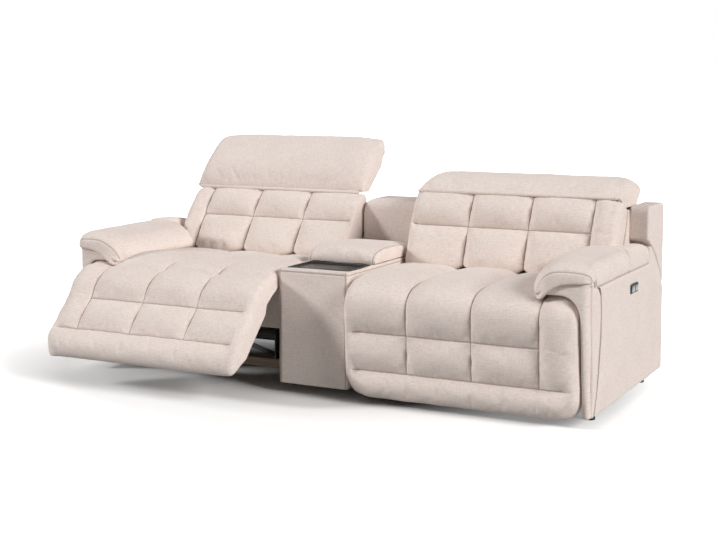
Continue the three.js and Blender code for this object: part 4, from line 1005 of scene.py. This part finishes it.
class SOFA_OT_arm_pads(bpy.types.Operator):
    """Padded arm tops with a boxing band across the front"""

    bl_idname = "sofa.arm_pads"
    bl_label = "Arm pads"

    def execute(self, context):
        count, table = ARM_COUNT, np.array(ARM_STATIONS)
        rows = []
        for start, end in zip(table[:-1], table[1:]):
            pieces = max(1, int(round(abs(end[0] - start[0]) / ARM_STEP)))
            rows += [start + (end - start) * part / pieces for part in range(pieces)]
        rows.append(table[-1])
        loops, seam, run = [], [], 0.0
        for k, row in enumerate(rows):
            loop, from_side = arm_loop(*row[1:], count)
            run += math.hypot(row[0] - rows[k - 1][0], row[4] - rows[k - 1][4]) if k else 0.0
            near_front = 1 - smoothstep(-0.5, -0.44, row[0])
            across = (loop[:, 0] - (HALF_WIDTH - row[1])) / row[1]
            back_off = 0.03 * np.maximum(0, 1 - across / 0.35) ** 2
            back_off += 0.022 * np.maximum(0, across / 0.25 - 3) ** 2
            loops.append(np.stack([loop[:, 0], row[0] + back_off * near_front, loop[:, 1]], 1))
            side_gap = from_side if row[0] > -0.47 else np.full(count, FAR)
            seam.append(np.minimum(side_gap, np.where(loop[:, 1] > 0.462, run, FAR)))
        for end, profile, sign in ((0, ARM_FRONT_END, -1), (-1, ARM_REAR_END, 1)):
            base = loops[end]
            along = np.roll(base, -1, axis=0) - np.roll(base, 1, axis=0)
            inward = np.stack([-along[:, 2], np.zeros(count), along[:, 0]], 1)
            inward /= np.linalg.norm(inward, axis=1)[:, None]
            centre = base.mean(axis=0)
            if ((centre - base) * inward).sum() < 0:
                inward = -inward
            for drawn, out in profile:
                ring = base + inward * drawn + np.array([0, sign * out, 0])
                loops.insert(0 if end == 0 else len(loops), ring)
                seam.insert(0 if end == 0 else len(seam), np.full(count, drawn if end == 0 else FAR))
        points, seam = np.vstack(loops), np.concatenate(seam)
        faces = ring_faces(len(loops), count)
        faces.append(tuple(range(count)))
        faces.append(tuple(range((len(loops) - 1) * count, len(loops) * count)))
        right = mesh_object("right_arm_cushion", points, faces)

        def triangulate_ends(work):
            bmesh.ops.triangulate(work, faces=[f for f in work.faces if len(f.verts) > 4])

        rework(right.data, triangulate_ends)
        # The side and band seams get painted shade along them.
        mark_seam(right, seam)
        face_outwards(right)
        smoothed(right, 2)
        finish_pad(right, 4, 0.08, 0.002)
        pair_pieces(right, (), "sofa_frame", "arm_pad", 0.7)
        return {"FINISHED"}


# The wavelength of the uneven swells in a stuffed panel.
PANEL_SWELLS = 0.11


def softened(name, source, voxel, rounds, swell, seed, ripple=0.0012):
    """A stuffed panel: the node's solid with its edges rolled round as cloth over foam rolls them."""
    piece = node_copy(name, source)
    piece.data.materials.clear()
    adjust(piece.modifiers.new("Remesh", "REMESH"), mode="VOXEL", voxel_size=voxel)
    smoothed(piece, rounds)
    set_points(piece, points_of(piece) + normals_of(piece) * swell)
    undulate(piece, ripple, PANEL_SWELLS, seed)
    cover(piece)
    return piece


def panel_pair(name, node_name, turns, bodies, shape, *changes):
    """Both seats' stuffed panels, changed before the left one is made."""
    panel = softened(f"right_{name}", f"right_{node_name}", *shape)
    for change in changes:
        change(panel)
    pair_pieces(panel, turns, bodies, node_name)


# Where an arm's front panel meets its side panel, in y.
ARM_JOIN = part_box("right_arm_front_panel")[1].y
# The seam between an arm's front roll and its side, in (y, z).
ARM_FRONT_SEAM = [
    (-0.429, 0.04), (-0.4018, 0.1063), (-0.3828, 0.1947), (-0.3637, 0.2964), (-0.361, 0.3803),
    (-0.3692, 0.4555), (-0.3841, 0.482),
]


def arm_seam(piece):
    """Draws the arm's front roll out, lays its seam in, and marks the seam and a line beside it, where
    the stitches run, with painted shade.
    """
    points, normals = points_of(piece), normals_of(piece)
    distances = signed_distance(points[:, 1:], ARM_FRONT_SEAM)
    outer = smoothstep(HALF_WIDTH - 0.036, HALF_WIDTH - 0.014, points[:, 0])
    lift = 0.005 * smoothstep(0.008, 0.045, distances) - 0.0022 * np.exp(-np.abs(distances) / 0.006)
    set_points(piece, points + normals * (lift * outer)[:, None])
    distances[outer < 0.5] = FAR
    # The face is seen at a low angle, so both lines of painted shade are drawn wide.
    mark_seam(piece, distances * 0.34)
    mark_seam(piece, (distances - 0.0105) * 0.55, "SeamB")


def front_roll(piece):
    """Rolls the outer front corner of an arm round, from its front face back to the seam."""
    points = points_of(piece)
    # The roll stands further forward towards its top, where it meets the pad's band.
    stand = 0.034
    ahead = np.clip((ARM_JOIN - points[:, 1]) / stand, 0, 1)
    points[:, 1] -= stand * ahead * smoothstep(0.05, 0.45, points[:, 2])
    heights = np.arange(0.04, 0.56, 0.01)
    seam = np.array(ARM_FRONT_SEAM)
    bands = [points[np.abs(points[:, 2] - z) < 0.012] for z in heights]
    fronts = np.array([band[:, 1].min(initial=-0.43) for band in bands])
    front = np.interp(points[:, 2], heights, fronts)
    depth = 0.92 * np.clip(np.interp(points[:, 2], seam[:, 1], seam[:, 0]) - front, 0.012, 0.12)
    width = 0.5 * np.clip(depth, 0.0, 0.072)
    across = (points[:, 0] - (HALF_WIDTH - width)) / width
    along = (front + depth - points[:, 1]) / depth
    corner = (across > 0) & (along > 0)
    share = np.maximum(across, along) / np.maximum(np.hypot(across, along), 1e-6)
    share = 1 + (share - 1) * smoothstep(0.0, 0.03, 0.52 - points[:, 2])
    points[corner, 0] = (HALF_WIDTH - width + across * share * width)[corner]
    points[corner, 1] = (front + depth - along * share * depth)[corner]
    set_points(piece, points)


class SOFA_OT_arm_panels(bpy.types.Operator):
    """Front rolls and side panels of the arms"""

    bl_idname = "sofa.arm_panels"
    bl_label = "Arm panels"

    def execute(self, context):
        front, side = (0.0042, 6, 0.0006, 6), (0.0042, 5, 0.0006, 7, 0.0018)
        panel_pair("arm_front", "arm_front_panel", (), "sofa_frame", front, front_roll, arm_seam)
        panel_pair("arm_side", "arm_side_panel", (), "sofa_frame", side, arm_seam)
        return {"FINISHED"}


class SOFA_OT_outside_backs(bpy.types.Operator):
    """Outside backs and the wings beside them"""

    bl_idname = "sofa.outside_backs"
    bl_label = "Outside backs and wings"

    def execute(self, context):
        shell, wing = (0.0045, 3, 0.0003, 8), (sizes().panel_voxel, 4, 0.0006, 9)
        panel_pair("outside_back", "back_shell", BACK_TURNS, "{side}_back", shell)
        panel_pair("wing", "back_wing", BACK_TURNS, "{side}_back", wing)
        return {"FINISHED"}


class SOFA_OT_fascias(bpy.types.Operator):
    """Cloth covered boards under the seat's nose"""

    bl_idname = "sofa.fascias"
    bl_label = "Seat fascias"

    def execute(self, context):
        panel_pair("fascia", "seat_fascia", (), "sofa_frame", (0.004, 2, 0.0, 10, 0.0006))
        return {"FINISHED"}


# Console


class SOFA_OT_console(bpy.types.Operator):
    """Upholstered console box and its back panel"""

    bl_idname = "sofa.console"
    bl_label = "Console"

    def execute(self, context):
        body = softened("console_cover", "console_body", 0.0045, 2, 0.0004, 11, 0.0012)
        low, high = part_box("console_body")
        points = points_of(body)
        # Painted shade along the seam just under the top and down the front corners.
        under_top = points[:, 2] - (high.z - 0.011)
        under_top[points[:, 2] > high.z - 0.002] = FAR
        mark_seam(body, under_top)
        at_corner = np.abs(points[:, 0]) - (high.x - 0.009)
        at_corner[points[:, 1] > low.y + 0.003] = FAR
        mark_seam(body, at_corner, "SeamB")
        bind(body, "sofa_frame", "woven", "console_body")
        back = softened("console_back_cover", "console_back_panel", 0.005, 3, 0.0006, 12, 0.0018)
        bind(back, "sofa_frame", "woven", "console_back_panel")
        return {"FINISHED"}


LID_PATH = [
    (-0.233, 0.4822), (-0.2375, 0.493), (-0.2365, 0.507), (-0.227, 0.5215), (-0.205, 0.5325),
    (-0.165, 0.5395), (-0.115, 0.5425), (-0.05, 0.5415), (0.02, 0.5365), (0.085, 0.529),
    (0.14, 0.5205), (0.18, 0.5115), (0.201, 0.503), (0.2065, 0.494), (0.205, 0.4822),
]


# The lid pad's base: its front and rear edge, its height and how far it rises over the board.
LID_FRONT, LID_REAR, LID_BASE, LID_BOARD = -0.2325, 0.2045, 0.4822, 0.0052
# How far in from each side the lid's seam runs.
LID_SEAM = 0.01


class SOFA_OT_console_lid(bpy.types.Operator):
    """Padded lid of the console, with a boxing band down each side"""

    bl_idname = "sofa.console_lid"
    bl_label = "Console lid"

    def execute(self, context):
        x0, x1 = span("console_lid_pad")
        dense, along, marks = spline(LID_PATH)
        rows_at = stations([0.0, marks[-1]], 0.007, 0.003, [])
        path = at_lengths(dense, along, rows_at)
        edge = np.array([0.0, 0.001, 0.003, 0.0065, 0.01, 0.0135, 0.02])
        xs = np.concatenate([x0 + edge, np.linspace(x0 + 0.029, x1 - 0.029, 30), x1 - edge[::-1]])
        from_end = np.minimum(xs - x0, x1 - xs)
        # The crown falls to the side bands, with a shallow dip on the seam at their upper edge.
        fall = 0.009 * (1 - smoothstep(0.008, 0.075, from_end)) + 0.0045 * np.exp(-from_end / 0.0035)
        fall += 0.0016 * np.exp(-np.abs(from_end - LID_SEAM) / 0.003)
        skin = np.zeros((len(rows_at), len(xs), 3))
        back = np.zeros_like(skin)
        middle_y = (path[0, 0] + path[-1, 0]) / 2
        for i in range(len(rows_at)):
            height = np.clip((path[i, 1] - 0.4835) / 0.03, 0, 1)
            y = path[i, 0] + (middle_y - path[i, 0]) * fall
            share = i / (len(rows_at) - 1)
            back_y = LID_FRONT + share * (LID_REAR - LID_FRONT)
            from_edge = min(back_y - LID_FRONT, LID_REAR - back_y)
            over_board = smoothstep(0.003, 0.008, np.minimum(from_end, from_edge))
            skin[i] = np.stack([xs, y, path[i, 1] - fall * height], 1)
            back[i] = np.stack([xs, np.full(len(xs), back_y), LID_BASE + LID_BOARD * over_board], 1)
        pad = sheet_pair("console_lid_cushion", skin, back, layers=3, bulge=0.0008)
        held = np.ones(skin.shape[:2], bool)
        held[2:-2, 5:-5] = False
        # Painted shade along the seam at the upper edge of each side band.
        mark_seam(pad, for_all(pad, np.tile(np.abs(from_end - LID_SEAM), len(rows_at)), FAR))
        plump(pad, for_all(pad, held, True), 0.004)
        finish_pad(pad, 13, 0.06, 0.0012)
        bind(pad, "console_lid", "woven", "console_lid_pad", fill=0.85)
        return {"FINISHED"}


def circle(radius, count):
    """Flat points round a circle."""
    angles = [2 * math.pi * k / count for k in range(count)]
    return [(radius * math.cos(angle), radius * math.sin(angle)) for angle in angles]


def arc(radius, start, steps):
    """A quarter of a circle, from its start in degrees."""
    angles = [math.radians(start + 90 * k / steps) for k in range(steps + 1)]
    return [(radius * math.cos(angle), radius * math.sin(angle)) for angle in angles]


def ring_faces(rings, count, start=0):
    """The faces between successive rings of points."""
    bases = range(start, start + (rings - 1) * count, count)
    pairs = [(k, (k + 1) % count) for k in range(count)]
    return [(base + a, base + b, base + b + count, base + a + count) for base in bases for a, b in pairs]


def stacked_loops(name, *stacks):
    """Closed bodies in one piece, each through a stack of like loops, with flat ends."""
    points, faces = [], []
    for loops in stacks:
        first, count = len(points), len(loops[0])
        points += [p for loop in loops for p in loop]
        faces += ring_faces(len(loops), count, first)
        for r in (0, len(loops) - 1):
            centre, base = len(points), first + r * count
            points.append(tuple(np.mean(loops[r], axis=0)))
            faces += [(base + k, base + (k + 1) % count, centre) for k in range(count)]
    made = mesh_object(name, points, faces)
    face_outwards(made)
    return made


class SOFA_OT_console_tray(bpy.types.Operator):
    """Gloss tray let into the console's front"""

    bl_idname = "sofa.console_tray"
    bl_label = "Console tray"

    def execute(self, context):
        low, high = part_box("console_tray")
        rim, top, floor = 0.007, high.z, high.z - 0.008
        # Inset, height and corner radius, up the outside, over the rim and into the dish.
        rows = [
            (0.0006, low.z, 0.0045),
            (0.0, low.z + 0.0006, 0.005),
            (0.0, top - 0.0012, 0.005),
            (0.0004, top - 0.0004, 0.005),
            (0.0014, top, 0.005),
            (rim - 0.0014, top, 0.004),
            (rim - 0.0004, top - 0.0005, 0.004),
            (rim, top - 0.0015, 0.004),
            (rim + 0.0006, floor + 0.002, 0.004),
            (rim + 0.0018, floor + 0.0004, 0.003),
            (rim + 0.0032, floor, 0.002),
        ]
        loops = []
        for inset, z, radius in rows:
            x0, x1 = low.x + inset + radius, high.x - inset - radius
            y0, y1 = low.y + inset + radius, high.y - inset - radius
            corners = [(x1, y0, -90), (x1, y1, 0), (x0, y1, 90), (x0, y0, 180)]
            loops.append([(x + a, y + b, z) for x, y, start in corners for a, b in arc(radius, start, 6)])
        tray = stacked_loops("console_tray_moulding", loops)
        moulded(tray, "gloss_abs")
        bind(tray, "sofa_frame", "gloss_black", "console_tray")
        return {"FINISHED"}


# Switches


def bevelled(name, source, width, finish, body, slot):
    """A node's moulding with its edges rounded off."""
    piece = node_copy(name, source)
    flat = math.radians(1)
    rework(
        piece.data,
        lambda work: bmesh.ops.dissolve_limit(work, angle_limit=flat, verts=work.verts, edges=work.edges),
    )
    rounding = piece.modifiers.new("Rounding", "BEVEL")
    adjust(rounding, width=width, segments=3, harden_normals=True)
    adjust(rounding, limit_method="ANGLE", angle_limit=math.radians(40))
    piece.data.shade_smooth()
    settle(piece)
    dress(piece, finish)
    bind(piece, body, slot, source)


class SOFA_OT_switches(bpy.types.Operator):
    """Two button switch in the outer side of each arm"""

    bl_idname = "sofa.switches"
    bl_label = "Switches"

    def execute(self, context):
        for side in ("right", "left"):
            plate, bezel = f"{side}_switch_plate", f"{side}_switch_bezel"
            bevelled(plate, bezel, 0.0014, "satin_polypropylene", "sofa_frame", "black_plastic")
            for place in ("front", "rear"):
                key, button = f"{side}_{place}_key", f"{side}_switch_button_{place}"
                bevelled(key, button, 0.0012, "chrome_plate", f"{side}_{place}_button", "chrome")
        return {"FINISHED"}


# Frames, boards and mechanism keep their solids and get their finishes.

BARE_FINISHES = {
    "beech_rail": ["base_frame"],
    "powder_coated_steel": [
        "mechanism_frame", "drive_crank", "pushrod_inner", "pushrod_outer", "footrest_bracket",
    ],
    "glass_filled_nylon": ["drive_motor", "recline_motor"],
    "poplar_plywood": ["seat_deck", "back_frame", "headrest_board", "arm_board"],
}
CONSOLE_FINISHES = {
    "satin_polypropylene": ["console_foot", "console_bin_liner"],
    "poplar_plywood": ["console_lid_board"],
    "powder_coated_steel": ["console_lid_hinge"],
}


class SOFA_OT_frame_finishes(bpy.types.Operator):
    """Timber, steel and plastic finishes on the frame's own parts"""

    bl_idname = "sofa.frame_finishes"
    bl_label = "Frame finishes"

    def execute(self, context):
        chosen = [("right_", BARE_FINISHES), ("left_", BARE_FINISHES), ("", CONSOLE_FINISHES)]
        for prefix, finishes in chosen:
            for finish, names in finishes.items():
                for name in names:
                    dress(frame["nodes"][prefix + name], finish)
        return {"FINISHED"}


# Radius and height up a foot's glide.
GLIDE = [
    (0.0165, 0.0), (0.0185, 0.0012), (0.019, 0.006), (0.019, 0.05), (0.0205, 0.066), (0.021, 0.0775),
]


class SOFA_OT_feet(bpy.types.Operator):
    """Moulded glides on the feet"""

    bl_idname = "sofa.feet"
    bl_label = "Feet"

    def execute(self, context):
        low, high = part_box("right_base_frame")
        # The feet's inset from the base's sides and rear, and from its front.
        inset, front_inset = 0.02, 0.092
        ys = (low.y + front_inset, high.y - inset)
        for side, sign in SIDES:
            stacks = [
                [[(sign * x + a, y + b, z) for a, b in circle(radius, 32)] for radius, z in GLIDE]
                for x in (low.x + inset, high.x - inset)
                for y in ys
            ]
            feet = stacked_loops(f"{side}_feet", *stacks)
            moulded(feet, "satin_polypropylene")
            bind(feet, "sofa_frame", "black_plastic")
        return {"FINISHED"}


class SOFA_OT_footrest_boards(bpy.types.Operator):
    """Plywood boards of the footrests, cut round at their lower corners"""

    bl_idname = "sofa.footrest_boards"
    bl_label = "Footrest boards"

    def execute(self, context):
        low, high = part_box("right_footrest_board")
        radius, eased = 0.046, 0.0012
        loops = []
        for y, inset in ((low.y, eased), (low.y + eased, 0.0), (high.y - eased, 0.0), (high.y, eased)):
            x0, x1, z0, z1 = low.x + inset, high.x - inset, low.z + inset, high.z - inset
            loop = [(x1, y, z1), (x0, y, z1)]
            for centre, start in ((x0 + radius, 180), (x1 - radius, 270)):
                loop += [(centre + a, y, z0 + radius + b) for a, b in arc(radius, start, 10)]
            loops.append(loop)
        right = stacked_loops("right_footrest_panel", loops)
        dress(right, "poplar_plywood")
        opened = [(FOOTREST_AXIS, LEFT_OPEN)]
        pair_pieces(right, opened, "{side}_footrest", "footrest_board", slot="timber")
        return {"FINISHED"}


class SOFA_OT_dust_strips(bpy.types.Operator):
    """Black nonwoven strips that close the base under its rear rails"""

    bl_idname = "sofa.dust_strips"
    bl_label = "Dust strips"

    def execute(self, context):
        low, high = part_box("right_base_frame")
        y, thickness, bottom, top = high.y - 0.012, 0.0012, 0.01, 0.0778
        section = [(y, bottom), (y + thickness, bottom), (y + thickness, top), (y, top)]
        for side, sign in SIDES:
            loops = [[(sign * x, *corner) for corner in section] for x in (low.x + 0.002, high.x - 0.002)]
            strip = stacked_loops(f"{side}_dust_strip", loops)
            dress(strip, "nonwoven")
            bind(strip, "sofa_frame", "black_plastic")
        return {"FINISHED"}


# Stage


def direct_rays(tree):
    """One where a thing is seen directly or in a gloss, else nought, and the kinds of ray."""
    seen = node(tree, "ShaderNodeLightPath").outputs
    return calculated(tree, "MAXIMUM", seen["Is Camera Ray"], seen["Is Glossy Ray"]), seen


def studio_floor():
    """A floor that throws less light back than it shows, with a painted glow, seen by the camera and in
    glosses, that clears the cast shadows to white away from the sofa and is off beneath it.
    """
    tree, shader = material("studio_floor")
    looked_at, _ = direct_rays(tree)
    paint = {0: looked_at, 6: (0.46, 0.46, 0.46, 1), 7: tuple(colours().floor)}
    paint = node(tree, "ShaderNodeMix", paint, data_type="RGBA").outputs[2]
    feed(tree, shader, {"Roughness": 0.9, "Specular IOR Level": 0.0, "Base Color": paint})
    # The distance from near the sofa's middle, as a share of an ellipse of 1.55 by 1.05 metres.
    place = node(tree, "ShaderNodeTexCoord").outputs["Object"]
    spread = node(tree, "ShaderNodeMapping", {0: place, 1: (0.1, 0.17, 0), 3: (1 / 1.55, 1 / 1.05, 0)})
    far_off = node(tree, "ShaderNodeVectorMath", {0: spread}, operation="LENGTH").outputs["Value"]
    # Painted glow: 0.22 near the sofa rising to 1 far off, where it hides the suns' cast shadows, and
    # nought beneath the sofa.
    shadow_clearing_glow = node(tree, "ShaderNodeMapRange", {0: far_off, 1: 0.72, 2: 1.25, 3: 0.22, 4: 1.0})
    beneath = node(tree, "ShaderNodeMapRange", {0: far_off, 1: 0.4, 2: 0.62})
    lift = calculated(tree, "MULTIPLY", looked_at, calculated(tree, "MULTIPLY", shadow_clearing_glow, beneath))
    light = node(tree, "ShaderNodeEmission", {"Color": (1, 1, 1, 1), "Strength": lift})
    both = node(tree, "ShaderNodeAddShader", {0: shader, 1: light})
    feed(tree, tree.nodes["Material Output"], {"Surface": both})


def distant_softbox(name, towards, strength, spread):
    """A sun from a direction, in watts per square metre and degrees across."""
    light = bpy.data.lights.new(name, "SUN")
    adjust(light, energy=strength, angle=math.radians(spread))
    lamp = placed(name, light)
    lamp.rotation_euler = Vector(towards).to_track_quat("Z", "Y").to_euler()


# The camera as fitted to the photograph: its place, how far it is turned and pitched down in
# degrees, its lens in millimetres and its shift.
CAMERA_PLACE, CAMERA_TURN, CAMERA_PITCH = (2.3634, -4.6855, 1.185), 27.235, 5.677
CAMERA_LENS, CAMERA_SHIFT = 65.95, -0.0838
FLOOR_HALF = 60


class SOFA_OT_stage(bpy.types.Operator):
    """Pale floor, soft studio light and the camera"""

    bl_idname = "sofa.stage"
    bl_label = "Stage"

    def execute(self, context):
        scene = context.scene
        scene.view_settings.view_transform = "Standard"
        corners = [(FLOOR_HALF * x, FLOOR_HALF * y, 0) for x, y in ((-1, -1), (1, -1), (1, 1), (-1, 1))]
        floor = mesh_object("studio_floor", corners, [(0, 1, 2, 3)])
        studio_floor()
        dress(floor, "studio_floor")

        world = bpy.data.worlds.new("studio")
        world.use_nodes = True
        scene.world = world
        tree = world.node_tree
        direct, seen = direct_rays(tree)
        clear = calculated(tree, "MAXIMUM", direct, seen["Is Transmission Ray"])
        level = node(tree, "ShaderNodeMapRange", {0: clear, 3: 0.25, 4: 1.0})
        feed(tree, tree.nodes["Background"], {"Color": (1, 1, 1, 1), "Strength": level})
        distant_softbox("right_softbox", (0.877, -0.175, 0.447), 2.5, 24)
        distant_softbox("left_softbox", (-0.8, -0.45, 0.4), 1.85, 10)

        camera = bpy.data.cameras.new("camera")
        adjust(camera, lens=CAMERA_LENS, sensor_width=36, sensor_fit="HORIZONTAL", shift_y=CAMERA_SHIFT)
        view = placed("camera", camera)
        view.location = CAMERA_PLACE
        view.rotation_euler = (math.pi / 2 - math.radians(CAMERA_PITCH), 0, math.radians(CAMERA_TURN))
        scene.camera = view
        return {"FINISHED"}


# Stitching


def stitch_tree():
    """Stitches set along a seam, each a short capsule of thread laid along it."""
    tree = bpy.data.node_groups.new("stitch_row", "GeometryNodeTree")
    kinds = {"Seam": "Geometry", "Thread": "Material"}
    for name in ("Seam", "Pitch", "Length", "Radius", "Thread"):
        kind = kinds.get(name, "Float")
        tree.interface.new_socket(name, in_out="INPUT", socket_type="NodeSocket" + kind)
    tree.interface.new_socket("Stitches", in_out="OUTPUT", socket_type="NodeSocketGeometry")
    given = node(tree, "NodeGroupInput").outputs
    curve = node(tree, "GeometryNodeMeshToCurve", {0: given["Seam"]})
    pitch = {"Curve": curve, "Length": given["Pitch"]}
    spots = node(tree, "GeometryNodeCurveToPoints", pitch, mode="LENGTH").outputs
    round_bead = {"Segments": 6, "Rings": 4, "Radius": given["Radius"]}
    capsule = node(tree, "GeometryNodeMeshUVSphere", round_bead)
    half = calculated(tree, "DIVIDE", given["Length"], given["Radius"])
    slender = calculated(tree, "MULTIPLY", half, 0.5)
    longer = node(tree, "ShaderNodeCombineXYZ", {0: 1.0, 1: 1.0, 2: slender})
    stretched = node(tree, "GeometryNodeTransform", {"Geometry": capsule, "Scale": longer})
    along = node(tree, "FunctionNodeAlignRotationToVector", {"Vector": spots["Tangent"]}, axis="Z")
    places = {"Points": spots["Points"], "Instance": stretched, "Rotation": along}
    set_out = node(tree, "GeometryNodeInstanceOnPoints", places)
    real = node(tree, "GeometryNodeRealizeInstances", {0: set_out})
    threaded = node(tree, "GeometryNodeSetMaterial", {"Geometry": real, "Material": given["Thread"]})
    node(tree, "NodeGroupOutput", {0: threaded})
    return tree


def grow(name, carrier, tree, values):
    """Runs a geometry tree on a carrier mesh and keeps the result as a plain mesh."""
    layer = carrier.modifiers.new("Grow", "NODES")
    layer.node_group = tree
    for item in tree.interface.items_tree:
        if item.in_out == "INPUT" and item.name in values:
            layer[item.identifier] = values[item.name]
    bpy.context.view_layer.update()
    mesh = evaluated_mesh(carrier)
    bpy.data.objects.remove(carrier)
    mesh.shade_smooth()
    return placed(name, mesh)


def seated(paths, piece, lift):
    """Paths laid on a piece's surface, as one wire mesh."""
    faces = [tuple(face.vertices) for face in piece.data.polygons]
    surface = BVHTree.FromPolygons([tuple(p) for p in points_of(piece)], faces)
    points, edges = [], []
    for path in paths:
        dense, along, _ = spline(path)
        run = at_lengths(dense, along, np.linspace(0, along[-1], max(4, int(along[-1] / 0.004))))
        start = len(points)
        for spot in run:
            place, normal, _, _ = surface.find_nearest(Vector(spot))
            points.append(tuple(place + normal * lift))
        edges += [(k, k + 1) for k in range(start, len(points) - 1)]
    mesh = bpy.data.meshes.new("seam_lines")
    mesh.from_pydata(points, edges, [])
    return placed("seam_lines", mesh)


# The seam across the band of an arm's pad, in (x, z).
ARM_BAND_SEAM = [
    (0.879, 0.466), (0.892, 0.488), (0.924, 0.513), (0.97, 0.53), (1.02, 0.5365),
    (1.06, 0.533),
]


class SOFA_OT_stitching(bpy.types.Operator):
    """Rows of top stitching beside the sewn seams"""

    bl_idname = "sofa.stitching"
    bl_label = "Stitching"

    def execute(self, context):
        tree = stitch_tree()
        size = sizes()
        values = {"Pitch": size.stitch_pitch, "Length": size.stitch_length}
        values.update({"Radius": size.thread_radius, "Thread": FINISHES["polyester_thread"]})
        rows = []
        for side, sign in SIDES:
            seam = [(sign * (HALF_WIDTH + 0.003), y - 0.006, z) for y, z in ARM_FRONT_SEAM]
            band = [(sign * x, -0.5, z + 0.002) for x, z in ARM_BAND_SEAM]
            rows.append((f"{side}_arm_front_stitches", [seam], f"{side}_arm_front", "sofa_frame"))
            rows.append((f"{side}_arm_band_stitches", [band], f"{side}_arm_cushion", "sofa_frame"))
        low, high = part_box("console_body")
        x0, x1, front, top = low.x, high.x, low.y, high.z
        edges = [[(x, y, top) for y in (front + 0.01, 0.0, 0.22)] for x in (x0 + 0.009, x1 - 0.009)]
        edges.append([(x, front + 0.009, top) for x in (x0 + 0.01, 0, x1 - 0.01)])
        rows.append(("console_stitches", edges, "console_cover", "sofa_frame"))
        x0, x1 = span("console_lid_pad")
        lid = [[(x, y, z + 0.004) for y, z in LID_PATH[2:-2]] for x in (x0 + LID_SEAM, x1 - LID_SEAM)]
        rows.append(("console_lid_stitches", lid, "console_lid_cushion", "console_lid"))
        for name, paths, carrier, body in rows:
            made = grow(name, seated(paths, bpy.data.objects[carrier], 0.0001), tree, values)
            bind(made, body, "woven")
        return {"FINISHED"}


# Panel and registration

OPERATORS = [
    SOFA_OT_stage,
    SOFA_OT_frame_finishes,
    SOFA_OT_chaise_pads,
    SOFA_OT_footrest_boards,
    SOFA_OT_back_pads,
    SOFA_OT_headrests,
    SOFA_OT_arm_pads,
    SOFA_OT_arm_panels,
    SOFA_OT_outside_backs,
    SOFA_OT_fascias,
    SOFA_OT_console,
    SOFA_OT_console_lid,
    SOFA_OT_console_tray,
    SOFA_OT_switches,
    SOFA_OT_feet,
    SOFA_OT_dust_strips,
    SOFA_OT_stitching,
]


class SOFA_PT_panel(bpy.types.Panel):
    """Lists the sofa's pieces"""

    bl_idname = "SOFA_PT_panel"
    bl_label = "Sofa"
    bl_space_type = "VIEW_3D"
    bl_region_type = "UI"
    bl_category = "Sofa"

    def draw(self, context):
        for made in OPERATORS:
            self.layout.operator(made.bl_idname)


CLASSES = [SofaSizes, SofaColours, *OPERATORS, SOFA_PT_panel]


def register():
    for made in CLASSES:
        bpy.utils.register_class(made)
    bpy.types.Scene.sofa_sizes = PointerProperty(type=SofaSizes)
    bpy.types.Scene.sofa_colours = PointerProperty(type=SofaColours)


def unregister():
    del bpy.types.Scene.sofa_colours
    del bpy.types.Scene.sofa_sizes
    for made in reversed(CLASSES):
        bpy.utils.unregister_class(made)


def main():
    register()
    make_finishes()
    for made in OPERATORS:
        group, name = made.bl_idname.split(".")
        getattr(getattr(bpy.ops, group), name)()


if __name__ == "__main__":
    main()
